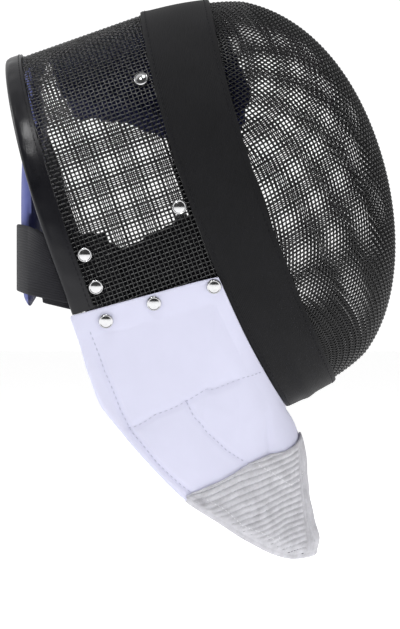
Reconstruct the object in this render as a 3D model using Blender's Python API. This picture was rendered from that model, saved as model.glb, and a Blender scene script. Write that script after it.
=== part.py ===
"""Foil fencing mask, worn pose: face towards +X, nose raised, +Z up, metres.

Every piece is worked out in the mask's own frame and hung on one empty that leans it back.
In that frame +X is forward (called depth, 0 at the rim plane), +Y is the wearer's left and
+Z runs up the face (called height, 0 at the rim's middle). "Growth" is how far a surface lies
outside the wire mesh's outer face, negative on the inside. The world origin is the point of the
crown pad that the top of the head meets.
"""
import math

import bmesh
import bpy
import numpy as np
from mathutils import Matrix, Vector

# Lean of the whole mask: the nose is raised by this angle.
LEAN = math.radians(19.5)

# The rim section, an egg-shaped superellipse that is carried straight back as the basket.
RIM_HALF_HEIGHT = 0.143
RIM_HALF_WIDTH = 0.100
RIM_POWER = 2.15
RIM_EGG = 0.08
DOME_DEPTH = 0.0995
DOME_START = 0.025
DOME_POWER = 2.7
DOME_PINCH = 0.020
DOME_PINCH_END = 0.55
DOME_LIFT = 0.009
MESH_WALL = 0.0020
CLEARANCE = 0.0003

# The basket's rear edge and the lap of wire under the bib.
BASKET_DEPTH_TOP = 0.120
BASKET_DEPTH_SIDE = 0.131
BASKET_LAP = 0.017

# The fabric band round the joint of the two meshes.
BAND_SETBACK_TOP = 0.0015
BAND_SETBACK_SIDE = 0.0150
BAND_WIDTH_TOP = 0.047
BAND_WIDTH_CHIN = 0.038
BAND_THICKNESS = 0.0020
BAND_LINER_THICKNESS = 0.0015
BAND_WEB = 0.0030

# The binding folded over the basket's rear edge.
BINDING_WIDTH_SIDE = 0.012
BINDING_WIDTH_TOP = 0.009
BINDING_THICKNESS = 0.0015
END_GAP = 0.0009

# The bib: heights and depths are in the mask's frame.
BIB_TOP_REAR = -0.038
BIB_TOP_FRONT = -0.0455
BIB_REAR_DEPTH = 0.1355
BIB_CORNER_DROP = 0.064
BIB_LENGTH = 0.145
BIB_HALF_WIDTH = 0.088
BIB_POWER = 2.2
BIB_EDGE_THICKNESS = 0.0022
BIB_EASE = 0.0008
BIB_THICKNESS = 0.0040
BIB_HEM_WIDTH = 0.010
BIB_HEM_THICKNESS = 0.0048
BIB_TUCK = 0.0035
BIB_POUCH = 0.0045
BIB_TURN = 0.15
BIB_STRAIGHT = 0.04

# Where the bib's free edge lies, front to back: share of the bib's length, share of its reach.
BIB_REACH = 0.1015
BIB_EDGE_ROWS = (
    {"drop": 0.00, "reach": 0.000},
    {"drop": 0.28, "reach": 0.148},
    {"drop": 0.52, "reach": 0.305},
    {"drop": 0.66, "reach": 0.453},
    {"drop": 0.81, "reach": 0.611},
    {"drop": 0.97, "reach": 0.850},
    {"drop": 1.00, "reach": 1.000},
)

# The conductive patch over the lower front of the bib.
PATCH_TOP_REAR = -0.176
PATCH_TOP_FRONT = -0.162
PATCH_THICKNESS = 0.0012
PATCH_MARGIN = 0.0016
PATCH_GAP = 0.0006
PATCH_SEARCH = 201
PATCH_COLUMNS = 13
PATCH_ROWS = 5

# Rivets: a domed head outside, a shank through the pieces and a flat head inside.
RIVET_RADIUS = 0.0050
RIVET_DOME = 0.0026
RIVET_SHANK_RADIUS = 0.0016
RIVET_FOOT_RADIUS = 0.0032
RIVET_FOOT = 0.0012
RIVET_EASE = 0.0007
RIVET_SIDES = 10
RIVET_STEP = 0.001
HOLE_REACH = 0.012

# The rivet's domed head: shares of its radius and of its rise.
RIVET_DOME_ROWS = (
    {"radius": 0.00, "rise": 1.00},
    {"radius": 0.50, "rise": 0.87},
    {"radius": 0.86, "rise": 0.50},
    {"radius": 1.00, "rise": 0.00},
)

# Rivet places: share of the way from the band to the binding, share of the rim's half height,
# what it holds.
RIVET_ROWS = (
    {"depth": 0.027, "height": 0.650, "holds": "mesh"},
    {"depth": 0.025, "height": 0.038, "holds": "mesh"},
    {"depth": 0.989, "height": -0.023, "holds": "anchor"},
    {"depth": 0.993, "height": -0.176, "holds": "anchor"},
    {"depth": 1.011, "height": -0.336, "holds": "bib"},
    {"depth": 0.553, "height": -0.333, "holds": "bib"},
    {"depth": -0.001, "height": -0.352, "holds": "bib"},
)

# The tongue, a padded spring down the back of the head.
TONGUE_WIDTH = 0.062
TONGUE_THICKNESS = 0.012
TONGUE_ROOT_THICKNESS = 0.005
TONGUE_ROOT_DEPTH = 0.0995
TONGUE_REACH = 0.0643
TONGUE_LENGTH = 0.1544
TONGUE_ROOT_CUP = 0.062
TONGUE_CUP = 0.130
TONGUE_SIDES = 14
TONGUE_ACROSS_POWER = 0.55
TONGUE_THROUGH_POWER = 0.75

# The tongue's centre line from its root: shares of its back reach and length, then its girth.
TONGUE_ROWS = (
    {"back": 0.000, "drop": 0.000, "width": 0.70, "thickness": 0.00},
    {"back": 0.101, "drop": 0.011, "width": 0.74, "thickness": 0.05},
    {"back": 0.179, "drop": 0.043, "width": 0.80, "thickness": 0.20},
    {"back": 0.226, "drop": 0.095, "width": 0.86, "thickness": 0.45},
    {"back": 0.257, "drop": 0.154, "width": 0.92, "thickness": 0.75},
    {"back": 0.303, "drop": 0.238, "width": 0.97, "thickness": 0.95},
    {"back": 0.420, "drop": 0.361, "width": 1.00, "thickness": 1.00},
    {"back": 0.543, "drop": 0.490, "width": 1.00, "thickness": 1.00},
    {"back": 0.653, "drop": 0.616, "width": 0.98, "thickness": 1.00},
    {"back": 0.759, "drop": 0.742, "width": 0.94, "thickness": 1.00},
    {"back": 0.860, "drop": 0.859, "width": 0.86, "thickness": 0.92},
    {"back": 0.956, "drop": 0.960, "width": 0.66, "thickness": 0.60},
    {"back": 1.000, "drop": 1.000, "width": 0.42, "thickness": 0.15},
)

# The elastic strap round the back, and the anchors that hold it inside the basket.
STRAP_WIDTH = 0.045
STRAP_THICKNESS = 0.0020
STRAP_START_HEIGHT = -0.0055
STRAP_RISE = 0.0190
STRAP_POWER = 2.3
STRAP_SWING = 0.6
STRAP_EASE = 0.0009
STRAP_TURNS = 26
ANCHOR_LENGTH = 0.036
ANCHOR_SLOPE = 0.26
ANCHOR_WIDTH = 0.049
ANCHOR_END_WIDTH = 0.044
ANCHOR_LOWER = 0.002
ANCHOR_LAP = 3

# The crown and forehead pad.
CROWN_PAD_THICKNESS = 0.012
CROWN_PAD_REAR = 0.098
CROWN_PAD_FRONT = 0.028
PAD_EDGE_THICKNESS = 0.0030
PAD_EASE = 0.0008
PAD_FULLNESS = 6.0
SEAT_DEPTH = 0.012

# The crown pad's lower edge: share from its rear to its front, share of the rim's half height.
CROWN_PAD_ROWS = (
    {"along": 0.00, "height": 0.690},
    {"along": 0.30, "height": 0.570},
    {"along": 0.42, "height": 0.470},
    {"along": 0.65, "height": 0.360},
    {"along": 0.85, "height": 0.325},
    {"along": 1.00, "height": 0.430},
)

# The cheek pads inside the basket's lower sides.
CHEEK_PAD_THICKNESS = 0.010
CHEEK_PAD_INSET = 0.014
CHEEK_PAD_FRONT = 0.033
CHEEK_PAD_FOOT = -0.062

# A cheek pad's top edge: share from its rear to its front, share of its drop from its top.
CHEEK_PAD_TOP = 0.002
CHEEK_PAD_ROWS = (
    {"along": 0.00, "fall": 0.44},
    {"along": 0.10, "fall": 0.26},
    {"along": 0.24, "fall": 0.04},
    {"along": 0.36, "fall": 0.10},
    {"along": 0.58, "fall": 0.05},
    {"along": 1.00, "fall": 0.00},
)

# How finely the round pieces are faceted.
STATIONS = 52
STATION_MARGIN = 0.35
DOME_RINGS = 6

# Height of the curve x * (1 - x) ** 4 at its peak, where x is a fifth.
POUCH_PEAK = 0.2 * 0.8 ** 4

# Growth of each layer's faces, from the mesh inwards.
LINER_FACE = -(MESH_WALL + CLEARANCE + BAND_LINER_THICKNESS)
CROWN_PAD_FACE = LINER_FACE - PAD_EASE
ANCHOR_FACE = -(MESH_WALL + CLEARANCE + BINDING_THICKNESS + CLEARANCE)
ANCHOR_BACK = ANCHOR_FACE - STRAP_THICKNESS
CHEEK_PAD_FACE = ANCHOR_BACK - RIVET_EASE - RIVET_FOOT - CLEARANCE
BIB_FACE = BIB_EASE + BIB_EDGE_THICKNESS

# Growth of the strap's middle face and of the anchor's, one layer inside it.
STRAP_LAYER = ANCHOR_FACE + STRAP_EASE + STRAP_THICKNESS / 2
ANCHOR_LAYER = ANCHOR_FACE - STRAP_THICKNESS / 2

# The head's seat on the crown pad, in the mask's frame.
SEAT_HEIGHT = RIM_HALF_HEIGHT + CROWN_PAD_FACE - CROWN_PAD_THICKNESS


def signed_power(values, power):
    """Raise the size of each value to a power and keep its sign."""
    return np.sign(values) * np.abs(values) ** power


def smooth_through(rows, key, value, places):
    """Read a smooth monotone curve through a table's rows at the given places."""
    x = np.array([row[key] for row in rows])
    y = np.array([row[value] for row in rows])
    step = np.diff(x)
    slope = np.diff(y) / step
    inner = np.where(slope[:-1] * slope[1:] > 0.0,
                     2.0 * slope[:-1] * slope[1:] / np.where(slope[:-1] + slope[1:] == 0.0, 1.0,
                                                             slope[:-1] + slope[1:]), 0.0)
    tangent = np.concatenate([slope[:1], inner, slope[-1:]])
    places = np.clip(places, x[0], x[-1])
    cell = np.clip(np.searchsorted(x, places, side="right") - 1, 0, len(step) - 1)
    t = (places - x[cell]) / step[cell]
    first = (1 + 2 * t) * (1 - t) ** 2 * y[cell] + t * (1 - t) ** 2 * step[cell] * tangent[cell]
    last = t * t * (3 - 2 * t) * y[cell + 1] + t * t * (t - 1) * step[cell] * tangent[cell + 1]
    return first + last


def shell_point(angle, depth, growth):
    """Point of the mask's shell: the rim section carried back, and the dome that closes it.

    The section's size falls as the square root of 1 - x ** DOME_POWER, less a slight pinch under
    the band, where x runs from 0 at the dome's start to 1 at its pole.
    """
    sine = signed_power(np.sin(angle), 2.0 / RIM_POWER)
    cosine = signed_power(np.cos(angle), 2.0 / RIM_POWER)
    reach = np.clip((depth + DOME_START) / (DOME_DEPTH + growth + DOME_START), 0.0, 1.0)
    pinch = np.clip(reach / DOME_PINCH_END, 0.0, 1.0)
    share = np.sqrt(1.0 - reach ** DOME_POWER) - 4.0 * DOME_PINCH * pinch * (1.0 - pinch)
    height = share * sine * (RIM_HALF_HEIGHT + growth)
    height = height + DOME_LIFT * np.clip(depth / DOME_DEPTH, 0.0, 1.0) ** 3
    width = share * cosine * (RIM_HALF_WIDTH + growth) * (1.0 + RIM_EGG * share * sine)
    return np.stack(np.broadcast_arrays(depth, width, height), axis=-1)


def angle_at_height(height, growth=0.0):
    """Angle on the left side of the rim section at which it reaches a height."""
    share = height / (RIM_HALF_HEIGHT + growth)
    return np.arcsin(np.clip(signed_power(share, RIM_POWER / 2.0), -1.0, 1.0))


def stations(start, end):
    """Angles shared by all pieces round the rim, between two exact ends."""
    step = 2.0 * math.pi / STATIONS
    first = -0.5 * math.pi
    shared = first + step * np.arange(2 * STATIONS)
    margin = STATION_MARGIN * step
    kept = shared[(shared > start + margin) & (shared < end - margin)]
    return np.concatenate([[start], kept, [end]])


def band_middle(angle):
    """Depth of the band's middle line, further back at the sides than at crown and chin."""
    side = np.cos(angle) ** 2
    return -(BAND_SETBACK_TOP + (BAND_SETBACK_SIDE - BAND_SETBACK_TOP) * side)


def band_width(angle):
    """Width of the band, which narrows towards the chin."""
    low = ((1.0 - np.sin(angle)) / 2.0) ** 3
    return BAND_WIDTH_TOP - (BAND_WIDTH_TOP - BAND_WIDTH_CHIN) * low


def band_stations(angle):
    """Distances from the band's middle line to its web, its liner's edge and its own edge."""
    edge = band_width(angle) / 2
    web = np.full_like(edge, BAND_WEB / 2)
    return web, (web + edge) / 2, edge


def rear_depth(angle):
    """Depth of the basket's rear edge, cut back less at the crown than at the sides."""
    crown = np.clip(np.sin(angle), 0.0, 1.0) ** 2
    return -(BASKET_DEPTH_SIDE - (BASKET_DEPTH_SIDE - BASKET_DEPTH_TOP) * crown)


def binding_width(angle):
    """Width of the binding's two lips, narrower at the crown than at the sides."""
    crown = np.clip(np.sin(angle), 0.0, 1.0) ** 2
    return BINDING_WIDTH_SIDE + (BINDING_WIDTH_TOP - BINDING_WIDTH_SIDE) * crown


def make_material(name, colour, roughness, metallic=0.0):
    """Plain Principled material of a piece."""
    material = bpy.data.materials.new(name)
    material.use_nodes = True
    shader = material.node_tree.nodes["Principled BSDF"]
    shader.inputs["Base Color"].default_value = (*colour, 1.0)
    shader.inputs["Roughness"].default_value = roughness
    shader.inputs["Metallic"].default_value = metallic
    material.diffuse_color = (*colour, 1.0)
    return material


def add_object(name, vertices, faces, material, frame, crease=math.radians(35)):
    """Make a mesh object with outward faces and smooth shading, held by the frame."""
    mesh = bpy.data.meshes.new(name)
    mesh.from_pydata([tuple(v) for v in vertices], [], faces)
    work = bmesh.new()
    work.from_mesh(mesh)
    bmesh.ops.recalc_face_normals(work, faces=work.faces)
    work.to_mesh(mesh)
    work.free()
    mesh.shade_smooth()
    mesh.set_sharp_from_angle(angle=crease)
    if material is not None:
        mesh.materials.append(material)
    piece = bpy.data.objects.new(name, mesh)
    bpy.context.collection.objects.link(piece)
    piece.parent = frame
    return piece


def grid_faces(rows, columns, first=0, wrap_rows=False, wrap_columns=False):
    """Quads of a grid of vertices numbered row by row from first."""
    row_end = rows if wrap_rows else rows - 1
    column_end = columns if wrap_columns else columns - 1
    faces = []
    for row in range(row_end):
        below = (row + 1) % rows
        for column in range(column_end):
            beside = (column + 1) % columns
            faces.append((first + row * columns + column, first + row * columns + beside,
                          first + below * columns + beside, first + below * columns + column))
    return faces


def closed_ring(sections):
    """Vertices and faces of a ring whose closed sections go all the way round."""
    rows, columns = sections.shape[:2]
    return sections.reshape(-1, 3), grid_faces(rows, columns, wrap_rows=True, wrap_columns=True)


def capped_bar(sections):
    """Vertices and faces of a bar whose closed sections end in two flat caps."""
    rows, columns = sections.shape[:2]
    faces = grid_faces(rows, columns, wrap_columns=True)
    faces.append(tuple(range(columns)))
    faces.append(tuple(range((rows - 1) * columns, rows * columns)))
    return sections.reshape(-1, 3), faces


def slab(front, back):
    """Vertices and faces of the closed solid between two grids of the same size."""
    rows, columns = front.shape[:2]
    count = rows * columns
    faces = grid_faces(rows, columns) + grid_faces(rows, columns, first=count)
    rim = [column for column in range(columns)]
    rim += [row * columns + columns - 1 for row in range(1, rows)]
    rim += [(rows - 1) * columns + column for column in range(columns - 2, -1, -1)]
    rim += [row * columns for row in range(rows - 2, 0, -1)]
    for here, there in zip(rim, rim[1:] + rim[:1]):
        faces.append((here, there, count + there, count + here))
    return np.concatenate([front.reshape(-1, 3), back.reshape(-1, 3)]), faces


def spun_shell(rings):
    """Vertices and faces of closed rings of points joined up, with a pole at both ends."""
    rows, columns = rings.shape[:2]
    start_pole = rings[0].mean(axis=0)
    end_pole = rings[-1].mean(axis=0)
    body = rings[1:-1]
    inner = rows - 2
    faces = grid_faces(inner, columns, wrap_columns=True)
    last = (inner - 1) * columns
    start, end = inner * columns, inner * columns + 1
    for column in range(columns):
        beside = (column + 1) % columns
        faces.append((start, column, beside))
        faces.append((end, last + beside, last + column))
    return np.concatenate([body.reshape(-1, 3), [start_pole, end_pole]]), faces


def grid_normals(points):
    """Unit normals of a grid of points, from the steps along its rows and columns."""
    along = np.gradient(points, axis=0)
    across = np.gradient(points, axis=1)
    normal = np.cross(along, across)
    return normal / np.maximum(np.linalg.norm(normal, axis=-1, keepdims=True), 1e-12)


def inward_normals(points):
    """Unit normals of a grid, turned towards the inside of the mask."""
    normal = grid_normals(points)
    middle = np.array([-0.5 * BASKET_DEPTH_SIDE, 0.0, points[..., 2].mean()])
    turned = np.sum(normal * (middle - points), axis=-1).sum() > 0.0
    return normal if turned else -normal


def build_face_mesh(frame, material):
    """The wire dome: rings from the pole to its edge inside the band, and back inside."""
    angle = stations(-0.5 * math.pi, 1.5 * math.pi)[:-1]
    web, liner, edge = band_stations(angle)
    middle = band_middle(angle)
    under_band = [middle + web + CLEARANCE, middle + liner, middle + edge]
    rings = {}
    for side, growth in (("outer", 0.0), ("inner", -MESH_WALL)):
        depths = list(under_band)
        pole = DOME_DEPTH + growth
        turn = np.arccos(np.sqrt(1.0 - ((edge + middle + DOME_START) / (pole + DOME_START))
                                 ** DOME_POWER))
        for step in range(1, DOME_RINGS + 1):
            bend = turn + (0.5 * math.pi - turn) * step / DOME_RINGS
            depths.append((pole + DOME_START) * np.sin(bend) ** (2.0 / DOME_POWER) - DOME_START)
        rings[side] = [shell_point(angle, depth, growth) for depth in depths]
    profile = np.stack(rings["outer"][::-1] + rings["inner"])
    vertices, faces = spun_shell(profile)
    return add_object("face_mesh", vertices, faces, material, frame)


def build_side_mesh(frame, material, holes):
    """The wire basket: the rim section carried straight back, open behind and below."""
    low = angle_at_height(0.5 * (BIB_TOP_REAR + BIB_TOP_FRONT) - BASKET_LAP)
    angle = stations(low, math.pi - low)
    web, liner, edge = band_stations(angle)
    middle = band_middle(angle)
    depth = np.stack([rear_depth(angle), middle - edge, middle - liner,
                      middle - web - CLEARANCE], axis=1)
    outer = shell_point(angle[:, None], depth, 0.0)
    inner = shell_point(angle[:, None], depth, -MESH_WALL)
    vertices, faces = slab(outer, inner)
    piece = add_object("side_mesh", vertices, faces, material, frame)
    cut_holes(piece, holes)
    return piece


def build_trim_band(frame, material):
    """The band: a wide outer face, a web between the two meshes and a narrower liner."""
    angle = stations(-0.5 * math.pi, 1.5 * math.pi)[:-1]
    web, liner, edge = band_stations(angle)
    under, top = CLEARANCE, CLEARANCE + BAND_THICKNESS
    over, foot = -MESH_WALL - CLEARANCE, LINER_FACE
    outline = (
        (-edge, top), (-liner, top), (liner, top), (edge, top), (edge, under), (liner, under),
        (web, under), (web, over), (liner, over), (liner, foot), (-liner, foot), (-liner, over),
        (-web, over), (-web, under), (-liner, under), (-edge, under),
    )
    sections = np.stack([shell_point(angle, band_middle(angle) + across, growth)
                         for across, growth in outline], axis=1)
    vertices, faces = closed_ring(sections)
    return add_object("trim_band", vertices, faces, material, frame)


def build_rear_edge_binding(frame, material):
    """The binding: a folded strip over the basket's rear edge, ending at the bib."""
    low = angle_at_height(BIB_TOP_REAR + END_GAP)
    angle = stations(low, math.pi - low)
    rear = rear_depth(angle)
    width = binding_width(angle)
    fold = BINDING_THICKNESS
    outline = (
        (width, CLEARANCE + fold), (-CLEARANCE - fold, CLEARANCE + fold),
        (-CLEARANCE - fold, -MESH_WALL - CLEARANCE - fold),
        (width, -MESH_WALL - CLEARANCE - fold), (width, -MESH_WALL - CLEARANCE),
        (-CLEARANCE, -MESH_WALL - CLEARANCE), (-CLEARANCE, CLEARANCE), (width, CLEARANCE),
    )
    sections = np.stack([shell_point(angle, rear + along, growth)
                         for along, growth in outline], axis=1)
    vertices, faces = capped_bar(sections)
    return add_object("rear_edge_binding", vertices, faces, material, frame)


def bib_top(share):
    """Top edge of the bib's left half: share 0 at its rear corner, 1 under the chin."""
    turn, side_length, knee = bib_knee()
    along = np.clip(share / knee, 0.0, 1.0)
    height = BIB_TOP_REAR + (BIB_TOP_FRONT - BIB_TOP_REAR) * along
    side = shell_point(angle_at_height(height, BIB_FACE), -BIB_REAR_DEPTH + side_length * along,
                       BIB_FACE)
    round_rim = np.clip((share - knee) / (1.0 - knee), 0.0, 1.0)
    angle = turn + (-0.5 * math.pi - turn) * round_rim
    depth = band_middle(angle) - band_width(angle) / 2 - CLEARANCE
    rim = shell_point(angle, depth, BIB_FACE - BIB_TUCK * round_rim)
    return np.where((share < knee)[..., None], side, rim)


def bib_hem(share):
    """Free edge of the bib's left half: share 0 at its rear corner, 1 at the middle front."""
    angle = 0.5 * math.pi * share
    drop = np.abs(np.sin(angle)) ** (2.0 / BIB_POWER)
    width = BIB_HALF_WIDTH * np.abs(np.cos(angle)) ** (2.0 / BIB_POWER)
    reach = smooth_through(BIB_EDGE_ROWS, "drop", "reach", drop)
    height = BIB_TOP_REAR - BIB_CORNER_DROP - BIB_LENGTH * drop
    return np.stack([-BIB_REAR_DEPTH + BIB_REACH * reach, width, height], axis=-1)


def bib_knee():
    """Share across the bib at which its top edge leaves the basket and turns round the rim."""
    turn = angle_at_height(BIB_TOP_FRONT, BIB_FACE)
    side_front = band_middle(turn) - band_width(turn) / 2 - CLEARANCE
    side_length = BIB_REAR_DEPTH + side_front
    rim_length = (turn + 0.5 * math.pi) * RIM_HALF_HEIGHT
    return turn, side_length, side_length / (side_length + rim_length)


def bib_point(across, down):
    """Outer face of the bib: across 0 to 2 from left rear to right rear, down 0 to 1."""
    share = 1.0 - np.abs(1.0 - across)
    top = bib_top(share)
    hem = bib_hem(share)
    point = top + (hem - top) * down[..., None]
    lap = BASKET_LAP / np.linalg.norm(hem - top, axis=-1)
    tight = np.minimum(down, lap)
    level = top[..., 2] + (hem[..., 2] - top[..., 2]) * tight
    wall = side_point(point[..., 0], level, BIB_FACE)[..., 1]
    free = np.clip((down - lap) / (1.0 - lap), 0.0, 1.0)
    hung = wall + (hem[..., 1] - wall) * free
    beside = np.clip(1.0 - (share - bib_knee()[2]) / BIB_TURN, 0.0, 1.0)
    point[..., 1] += (hung - point[..., 1]) * beside
    pouch = BIB_POUCH * np.clip(2.0 * share - 1.0, 0.0, 1.0) ** 2
    below = np.clip(down - BIB_STRAIGHT, 0.0, 1.0)
    point[..., 0] += pouch * below * (1.0 - below) ** 4 / POUCH_PEAK
    point[..., 1] *= np.where(across > 1.0, -1.0, 1.0)
    return point


def bib_columns():
    """Shares across the bib, closer together where its top edge turns round the rim."""
    knee = bib_knee()[2]
    half = np.concatenate([np.linspace(0.0, knee, 6), np.linspace(knee, 1.0, 12)[1:]])
    return np.concatenate([half, 2.0 - half[-2::-1]])


def build_bib(frame, material, holes):
    """The bib: a padded sheet, thin where it laps the basket and thick at its hem."""
    across = bib_columns()
    down = np.array([0.0, BIB_STRAIGHT, 0.10, 0.20, 0.32, 0.48, 0.64, 0.80, 0.93, 1.0])
    spread, fall = np.meshgrid(across, down, indexing="ij")
    outer = bib_point(spread, fall)
    span = np.linalg.norm(outer[:, -1] - outer[:, 0], axis=-1)[:, None]
    below_lap = np.clip((fall * span - BASKET_LAP - CLEARANCE) / BASKET_LAP, 0.0, 1.0)
    near_hem = np.clip(2.0 - (1.0 - fall) * span / BIB_HEM_WIDTH, 0.0, 1.0)
    thickness = BIB_EDGE_THICKNESS + (BIB_THICKNESS - BIB_EDGE_THICKNESS) * below_lap
    thickness = thickness + (BIB_HEM_THICKNESS - BIB_THICKNESS) * near_hem
    inner = outer + inward_normals(outer) * thickness[..., None]
    vertices, faces = slab(outer, inner)
    piece = add_object("bib", vertices, faces, material, frame)
    cut_holes(piece, holes)
    return piece


def build_bib_patch(frame, material):
    """The conductive patch: a thin sheet over the bib below a line across it."""
    share = np.linspace(0.0, 1.0, PATCH_SEARCH)
    hem_height = bib_hem(share)[:, 2]
    start = float(share[np.argmax(hem_height < PATCH_TOP_REAR - 3.0 * PATCH_MARGIN)])
    half = np.linspace(start, 1.0, PATCH_COLUMNS)
    across = np.concatenate([half, 2.0 - half[-2::-1]])
    mirrored = 1.0 - np.abs(1.0 - across)
    top = bib_top(mirrored)
    hem = bib_hem(mirrored)
    forward = (mirrored - start) / (1.0 - start)
    line = PATCH_TOP_REAR + (PATCH_TOP_FRONT - PATCH_TOP_REAR) * forward
    upper = (line - top[:, 2]) / (hem[:, 2] - top[:, 2])
    lower = 1.0 - PATCH_MARGIN / np.linalg.norm(hem - top, axis=-1)
    rows = np.linspace(0.0, 1.0, PATCH_ROWS)
    spread = np.repeat(across[:, None], len(rows), axis=1)
    fall = upper[:, None] + (lower - upper)[:, None] * rows[None, :]
    seat = bib_point(spread, fall)
    inward = inward_normals(seat)
    vertices, faces = slab(seat - inward * (PATCH_GAP + PATCH_THICKNESS),
                           seat - inward * PATCH_GAP)
    return add_object("bib_patch", vertices, faces, material, frame)


def side_point(depth, height, growth):
    """Point on the basket's left wall at a depth and a height."""
    return shell_point(angle_at_height(height, growth), depth, growth)


def strap_point(turn, across, width, drop, growth):
    """Point of the strap's middle face: turn below 0 is inside the basket, 90 degrees behind.

    Its rows start along the basket's rear edge and swing upright as it goes round the back.
    """
    inside = np.clip(-turn, 0.0, None)
    round_back = np.clip(turn, 0.0, math.pi)
    sweep = np.abs(np.sin(round_back)) ** (2.0 / STRAP_POWER)
    side = signed_power(np.cos(round_back), 2.0 / STRAP_POWER)
    upright = np.clip(sweep / STRAP_SWING, 0.0, 1.0)
    lift = across * width - drop
    reach = strap_reach() + growth - STRAP_LAYER
    depth = strap_start() + inside - reach * sweep + lift * math.sin(LEAN) * upright
    tall = math.cos(LEAN) * upright + (1.0 - upright) / math.cos(LEAN)
    height = STRAP_START_HEIGHT - ANCHOR_SLOPE * inside + STRAP_RISE * sweep + lift * tall
    wall = side_point(depth, height, growth)
    return np.stack([depth, wall[..., 1] * side, height], axis=-1)


def strap_start():
    """Depth at which the strap starts, just behind the basket's binding."""
    return -(BASKET_DEPTH_SIDE + BINDING_THICKNESS + END_GAP)


def tongue_centre():
    """The tongue's centre line as depths and heights, with its widths and thicknesses."""
    root_height = RIM_HALF_HEIGHT + ANCHOR_FACE - TONGUE_ROOT_THICKNESS / 2
    back = np.array([row["back"] for row in TONGUE_ROWS])
    drop = np.array([row["drop"] for row in TONGUE_ROWS])
    depth = -TONGUE_ROOT_DEPTH - TONGUE_REACH * back
    height = root_height - TONGUE_LENGTH * drop
    width = TONGUE_WIDTH * np.array([row["width"] for row in TONGUE_ROWS])
    swell = np.array([row["thickness"] for row in TONGUE_ROWS])
    thickness = TONGUE_ROOT_THICKNESS + (TONGUE_THICKNESS - TONGUE_ROOT_THICKNESS) * swell
    cup = TONGUE_ROOT_CUP + (TONGUE_CUP - TONGUE_ROOT_CUP) * swell
    return depth, height, width, thickness, cup


def strap_reach():
    """How far behind its start the strap runs, so that it passes just behind the tongue."""
    depth, height, _, thickness, _ = tongue_centre()
    level = STRAP_START_HEIGHT + STRAP_RISE
    centre = np.interp(-level, -height, depth)
    half = np.interp(-level, -height, thickness) / 2
    behind = (half + STRAP_EASE + STRAP_THICKNESS / 2) / math.cos(LEAN)
    return strap_start() - (centre - behind)


def build_tongue(frame, material):
    """The tongue: rounded sections along its centre line, with a thin root and tip."""
    depth, height, width, thickness, cup = tongue_centre()
    path = np.stack([depth, height], axis=1)
    tangent = np.gradient(path, axis=0)
    tangent /= np.linalg.norm(tangent, axis=1, keepdims=True)
    normal = np.stack([tangent[:, 1], -tangent[:, 0]], axis=1)
    turn = np.linspace(0.0, 2.0 * math.pi, TONGUE_SIDES, endpoint=False)
    across = signed_power(np.cos(turn), TONGUE_ACROSS_POWER) / 2
    through = signed_power(np.sin(turn), TONGUE_THROUGH_POWER) / 2
    side = width[:, None] * across
    out = thickness[:, None] * through - side ** 2 / (2.0 * cup[:, None])
    sections = np.stack([depth[:, None] + normal[:, :1] * out, side,
                         height[:, None] + normal[:, 1:] * out], axis=-1)
    vertices, faces = capped_bar(sections)
    return add_object("tongue", vertices, faces, material, frame)


def build_rear_strap(frame, material):
    """The strap: a flat elastic band round the back from one side to the other."""
    turn = np.linspace(0.0, math.pi, STRAP_TURNS + 1)
    across = np.array([-0.5, 0.0, 0.5])
    middle = strap_point(turn[:, None], across[None, :], STRAP_WIDTH, 0.0, STRAP_LAYER)
    normal = grid_normals(middle) * STRAP_THICKNESS / 2
    vertices, faces = slab(middle - normal, middle + normal)
    return add_object("rear_strap", vertices, faces, material, frame)


def build_strap_anchor(frame, material, side, holes):
    """An anchor: the strap's end inside the basket, tapered, with the elastic over its tail."""
    inner = np.linspace(-ANCHOR_LENGTH, 0.0, 5)
    turn = np.concatenate([inner, math.pi / STRAP_TURNS * np.arange(1, ANCHOR_LAP + 1)])
    taper = np.clip(-turn / ANCHOR_LENGTH, 0.0, 1.0)
    width = ANCHOR_WIDTH + (ANCHOR_END_WIDTH - ANCHOR_WIDTH) * taper
    across = np.array([-0.5, 0.0, 0.5])
    middle = strap_point(turn[:, None], across[None, :], width[:, None], ANCHOR_LOWER,
                         ANCHOR_LAYER)
    normal = grid_normals(middle) * STRAP_THICKNESS / 2
    front, back = middle - normal, middle + normal
    flip = np.array([1.0, 1.0 if side == "left" else -1.0, 1.0])
    vertices, faces = slab(front * flip, back * flip)
    piece = add_object("strap_anchor_" + side, vertices, faces, material, frame)
    cut_holes(piece, holes)
    return piece


def padded(outer, thickness):
    """Inner face of a pad: full in its middle, thinned towards all four edges."""
    rows, columns = outer.shape[:2]
    down = np.abs(np.linspace(-1.0, 1.0, rows))[:, None] ** PAD_FULLNESS
    over = np.abs(np.linspace(-1.0, 1.0, columns))[None, :] ** PAD_FULLNESS
    swell = (1.0 - down) * (1.0 - over)
    depth = PAD_EDGE_THICKNESS + (thickness - PAD_EDGE_THICKNESS) * swell
    return outer + inward_normals(outer) * depth[..., None]


def build_crown_pad(frame, material):
    """The crown pad: over the crown and forehead, its lower edge falling towards the front."""
    along = np.array([0.0, 0.07, 0.20, 0.34, 0.50, 0.66, 0.82, 0.93, 1.0])
    depth = -CROWN_PAD_REAR + (CROWN_PAD_REAR + CROWN_PAD_FRONT) * along
    foot = RIM_HALF_HEIGHT * smooth_through(CROWN_PAD_ROWS, "along", "height", along)
    low = angle_at_height(foot, CROWN_PAD_FACE)
    across = np.concatenate([[0.0, 0.03], np.linspace(0.10, 0.90, 15), [0.97, 1.0]])
    angle = low[:, None] + (math.pi - 2.0 * low)[:, None] * across[None, :]
    outer = shell_point(angle, np.repeat(depth[:, None], len(across), axis=1), CROWN_PAD_FACE)
    vertices, faces = slab(outer, padded(outer, CROWN_PAD_THICKNESS))
    return add_object("crown_pad", vertices, faces, material, frame)


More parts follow.
